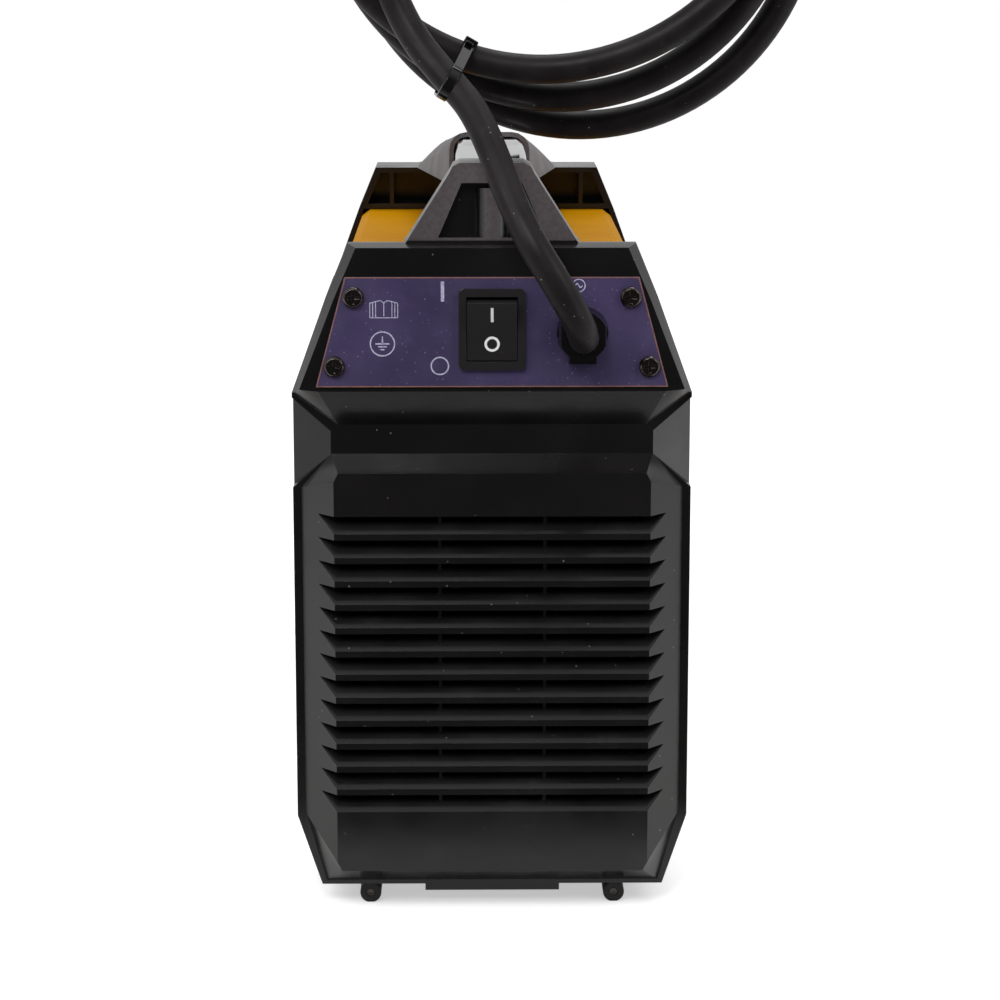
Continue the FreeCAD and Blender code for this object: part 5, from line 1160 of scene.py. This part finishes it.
def make_pointer():
    """The white line on the knob, at its least setting."""
    angle = math.radians(DIAL_SWEEP / 2)
    line = [(KNOB[0] + math.sin(angle) * reach, KNOB[1] + math.cos(angle) * reach)
            for reach in POINTER_REACH]
    print_mark("knob_pointer", stroke(line, 1.0), "current_knob", 1, WHITE_PRINT, sunk=KNOB_SINK)


def output_signs():
    """A plus over the positive socket and a minus over the negative one."""
    plus = stroke([(OUTPUT_X - OUTPUT_REACH, OUTPUT_Z), (OUTPUT_X + OUTPUT_REACH, OUTPUT_Z)],
                  OUTPUT_STROKE)
    for way in (1, -1):
        plus += stroke([(OUTPUT_X, OUTPUT_Z + way * OUTPUT_STROKE / 2),
                        (OUTPUT_X, OUTPUT_Z + way * OUTPUT_REACH)], OUTPUT_STROKE)
    minus = stroke([(-OUTPUT_X - OUTPUT_REACH, OUTPUT_Z), (-OUTPUT_X + OUTPUT_REACH, OUTPUT_Z)],
                   OUTPUT_STROKE)
    return plus + minus


def make_front_marks():
    make_dial()
    print_mark("front_label_edge", stroke(label_border(), EDGE_STRIP, closed=True),
               "front_label_plate", 1, FILM_EDGE, EDGE_THICKNESS)
    bars = []
    for place in DIGITS_X:
        bars += digit_bars(place, DIGITS_Z, DIGIT_WIDTH, DIGIT_HEIGHT)
    print_mark("display_bars", bars, "display_window", 1, DARK_SEGMENTS, EDGE_THICKNESS)
    make_pointer()
    print_mark("output_signs", output_signs(), "front_frame", 1, PALE_PRINT)


make_front_marks()
make_choke_turns()


# Finishes on the solids that stay

for node_name, holder in NODES.items():
    for material_slot in holder.material_slots:
        material_slot.material = FINISHES[SLOT_OF[node_name]]


# Plain pale studio

def camera_share(tree):
    """1 for rays from the camera, else 0."""
    return add(tree, "ShaderNodeLightPath").outputs["Is Camera Ray"]


TABLE_EDGE = 0.3
TABLE_HALF = 1.2
TABLE_GLOW = 0.5


def make_floor():
    """A white table that ends just behind the machine, lifted to plain white for the camera."""
    build = bmesh.new()
    bmesh.ops.create_grid(build, x_segments=1, y_segments=1, size=TABLE_HALF)
    bmesh.ops.translate(build, verts=build.verts, vec=(0, TABLE_HALF - TABLE_EDGE, 0))
    mesh = as_mesh("floor", build)
    floor = bpy.data.objects.new("floor", mesh)
    scene.collection.objects.link(floor)
    material = bpy.data.materials.new("paper_white")
    material.use_nodes = True
    tree = material.node_tree
    tree.nodes.clear()
    paper = add(tree, "ShaderNodeBsdfDiffuse", {"Color": "#E6E6E6"})
    lift = add(tree, "ShaderNodeMath", {0: camera_share(tree), 1: TABLE_GLOW}, operation="MULTIPLY")
    glow = add(tree, "ShaderNodeEmission", {"Color": (1, 1, 1, 1), "Strength": lift.outputs[0]})
    both = add(tree, "ShaderNodeAddShader", {0: paper.outputs[0], 1: glow.outputs[0]})
    add(tree, "ShaderNodeOutputMaterial", {"Surface": both.outputs[0]})
    mesh.materials.append(material)


ROOM_DARK = 0.07
ROOM_PALE = 0.6
DARK_END_SHARE = -0.8
PALE_START_SHARE = -0.3


def make_world():
    """A room that is dark behind the machine and pale elsewhere, and plain white for the camera."""
    world = bpy.data.worlds.new("pale_studio")
    scene.world = world
    world.use_nodes = True
    tree = world.node_tree
    tree.nodes.clear()
    coords = add(tree, "ShaderNodeTexCoord")
    split = add(tree, "ShaderNodeSeparateXYZ", {0: coords.outputs["Generated"]})
    room = add(tree, "ShaderNodeMapRange",
               {"Value": split.outputs["Y"], "From Min": DARK_END_SHARE,
                "From Max": PALE_START_SHARE, "To Min": ROOM_DARK, "To Max": ROOM_PALE})
    level = add(tree, "ShaderNodeMath", {0: room.outputs["Result"], 1: camera_share(tree)},
                operation="MAXIMUM")
    sky = add(tree, "ShaderNodeBackground", {"Color": (1, 1, 1, 1), "Strength": level.outputs[0]})
    add(tree, "ShaderNodeOutputWorld", {"Surface": sky.outputs[0]})


def softbox(name, place, aim, wide, tall, glow):
    """A rectangular lamp of one brightness, turned towards a point."""
    lamp = bpy.data.lights.new(name, "AREA")
    lamp.shape = "RECTANGLE"
    lamp.size = wide
    lamp.size_y = tall
    lamp.energy = glow * math.pi * wide * tall
    holder = bpy.data.objects.new(name, lamp)
    holder.location = place
    holder.rotation_euler = (Vector(aim) - Vector(place)).to_track_quat("-Z", "Y").to_euler()
    scene.collection.objects.link(holder)


# Each lamp's name, place, aim, width, height and brightness, in metres
LAMPS = (
    ("front_softbox", (-0.5, -1.7, 1.7), (0, -0.1, 0.2), 1.0, 0.8, 9.0),
    ("top_softbox", (0.2, 0.5, 2.0), (0, 0, 0.2), 1.4, 1.2, 3.0),
    ("left_softbox", (-1.1, -0.9, 1.0), (0, -0.2, 0.15), 0.35, 0.7, 7.0),
    ("right_softbox", (1.1, -0.9, 1.0), (0, -0.2, 0.15), 0.35, 0.7, 7.0),
    ("left_card", (-1.2, -0.85, 0.0), (0, -0.2, 0.2), 0.4, 0.7, 0.6),
    ("right_card", (1.2, -0.85, 0.0), (0, -0.2, 0.2), 0.4, 0.7, 2.0),
)
make_floor()
make_world()
for lamp_values in LAMPS:
    softbox(*lamp_values)

scene.view_settings.view_transform = "Standard"
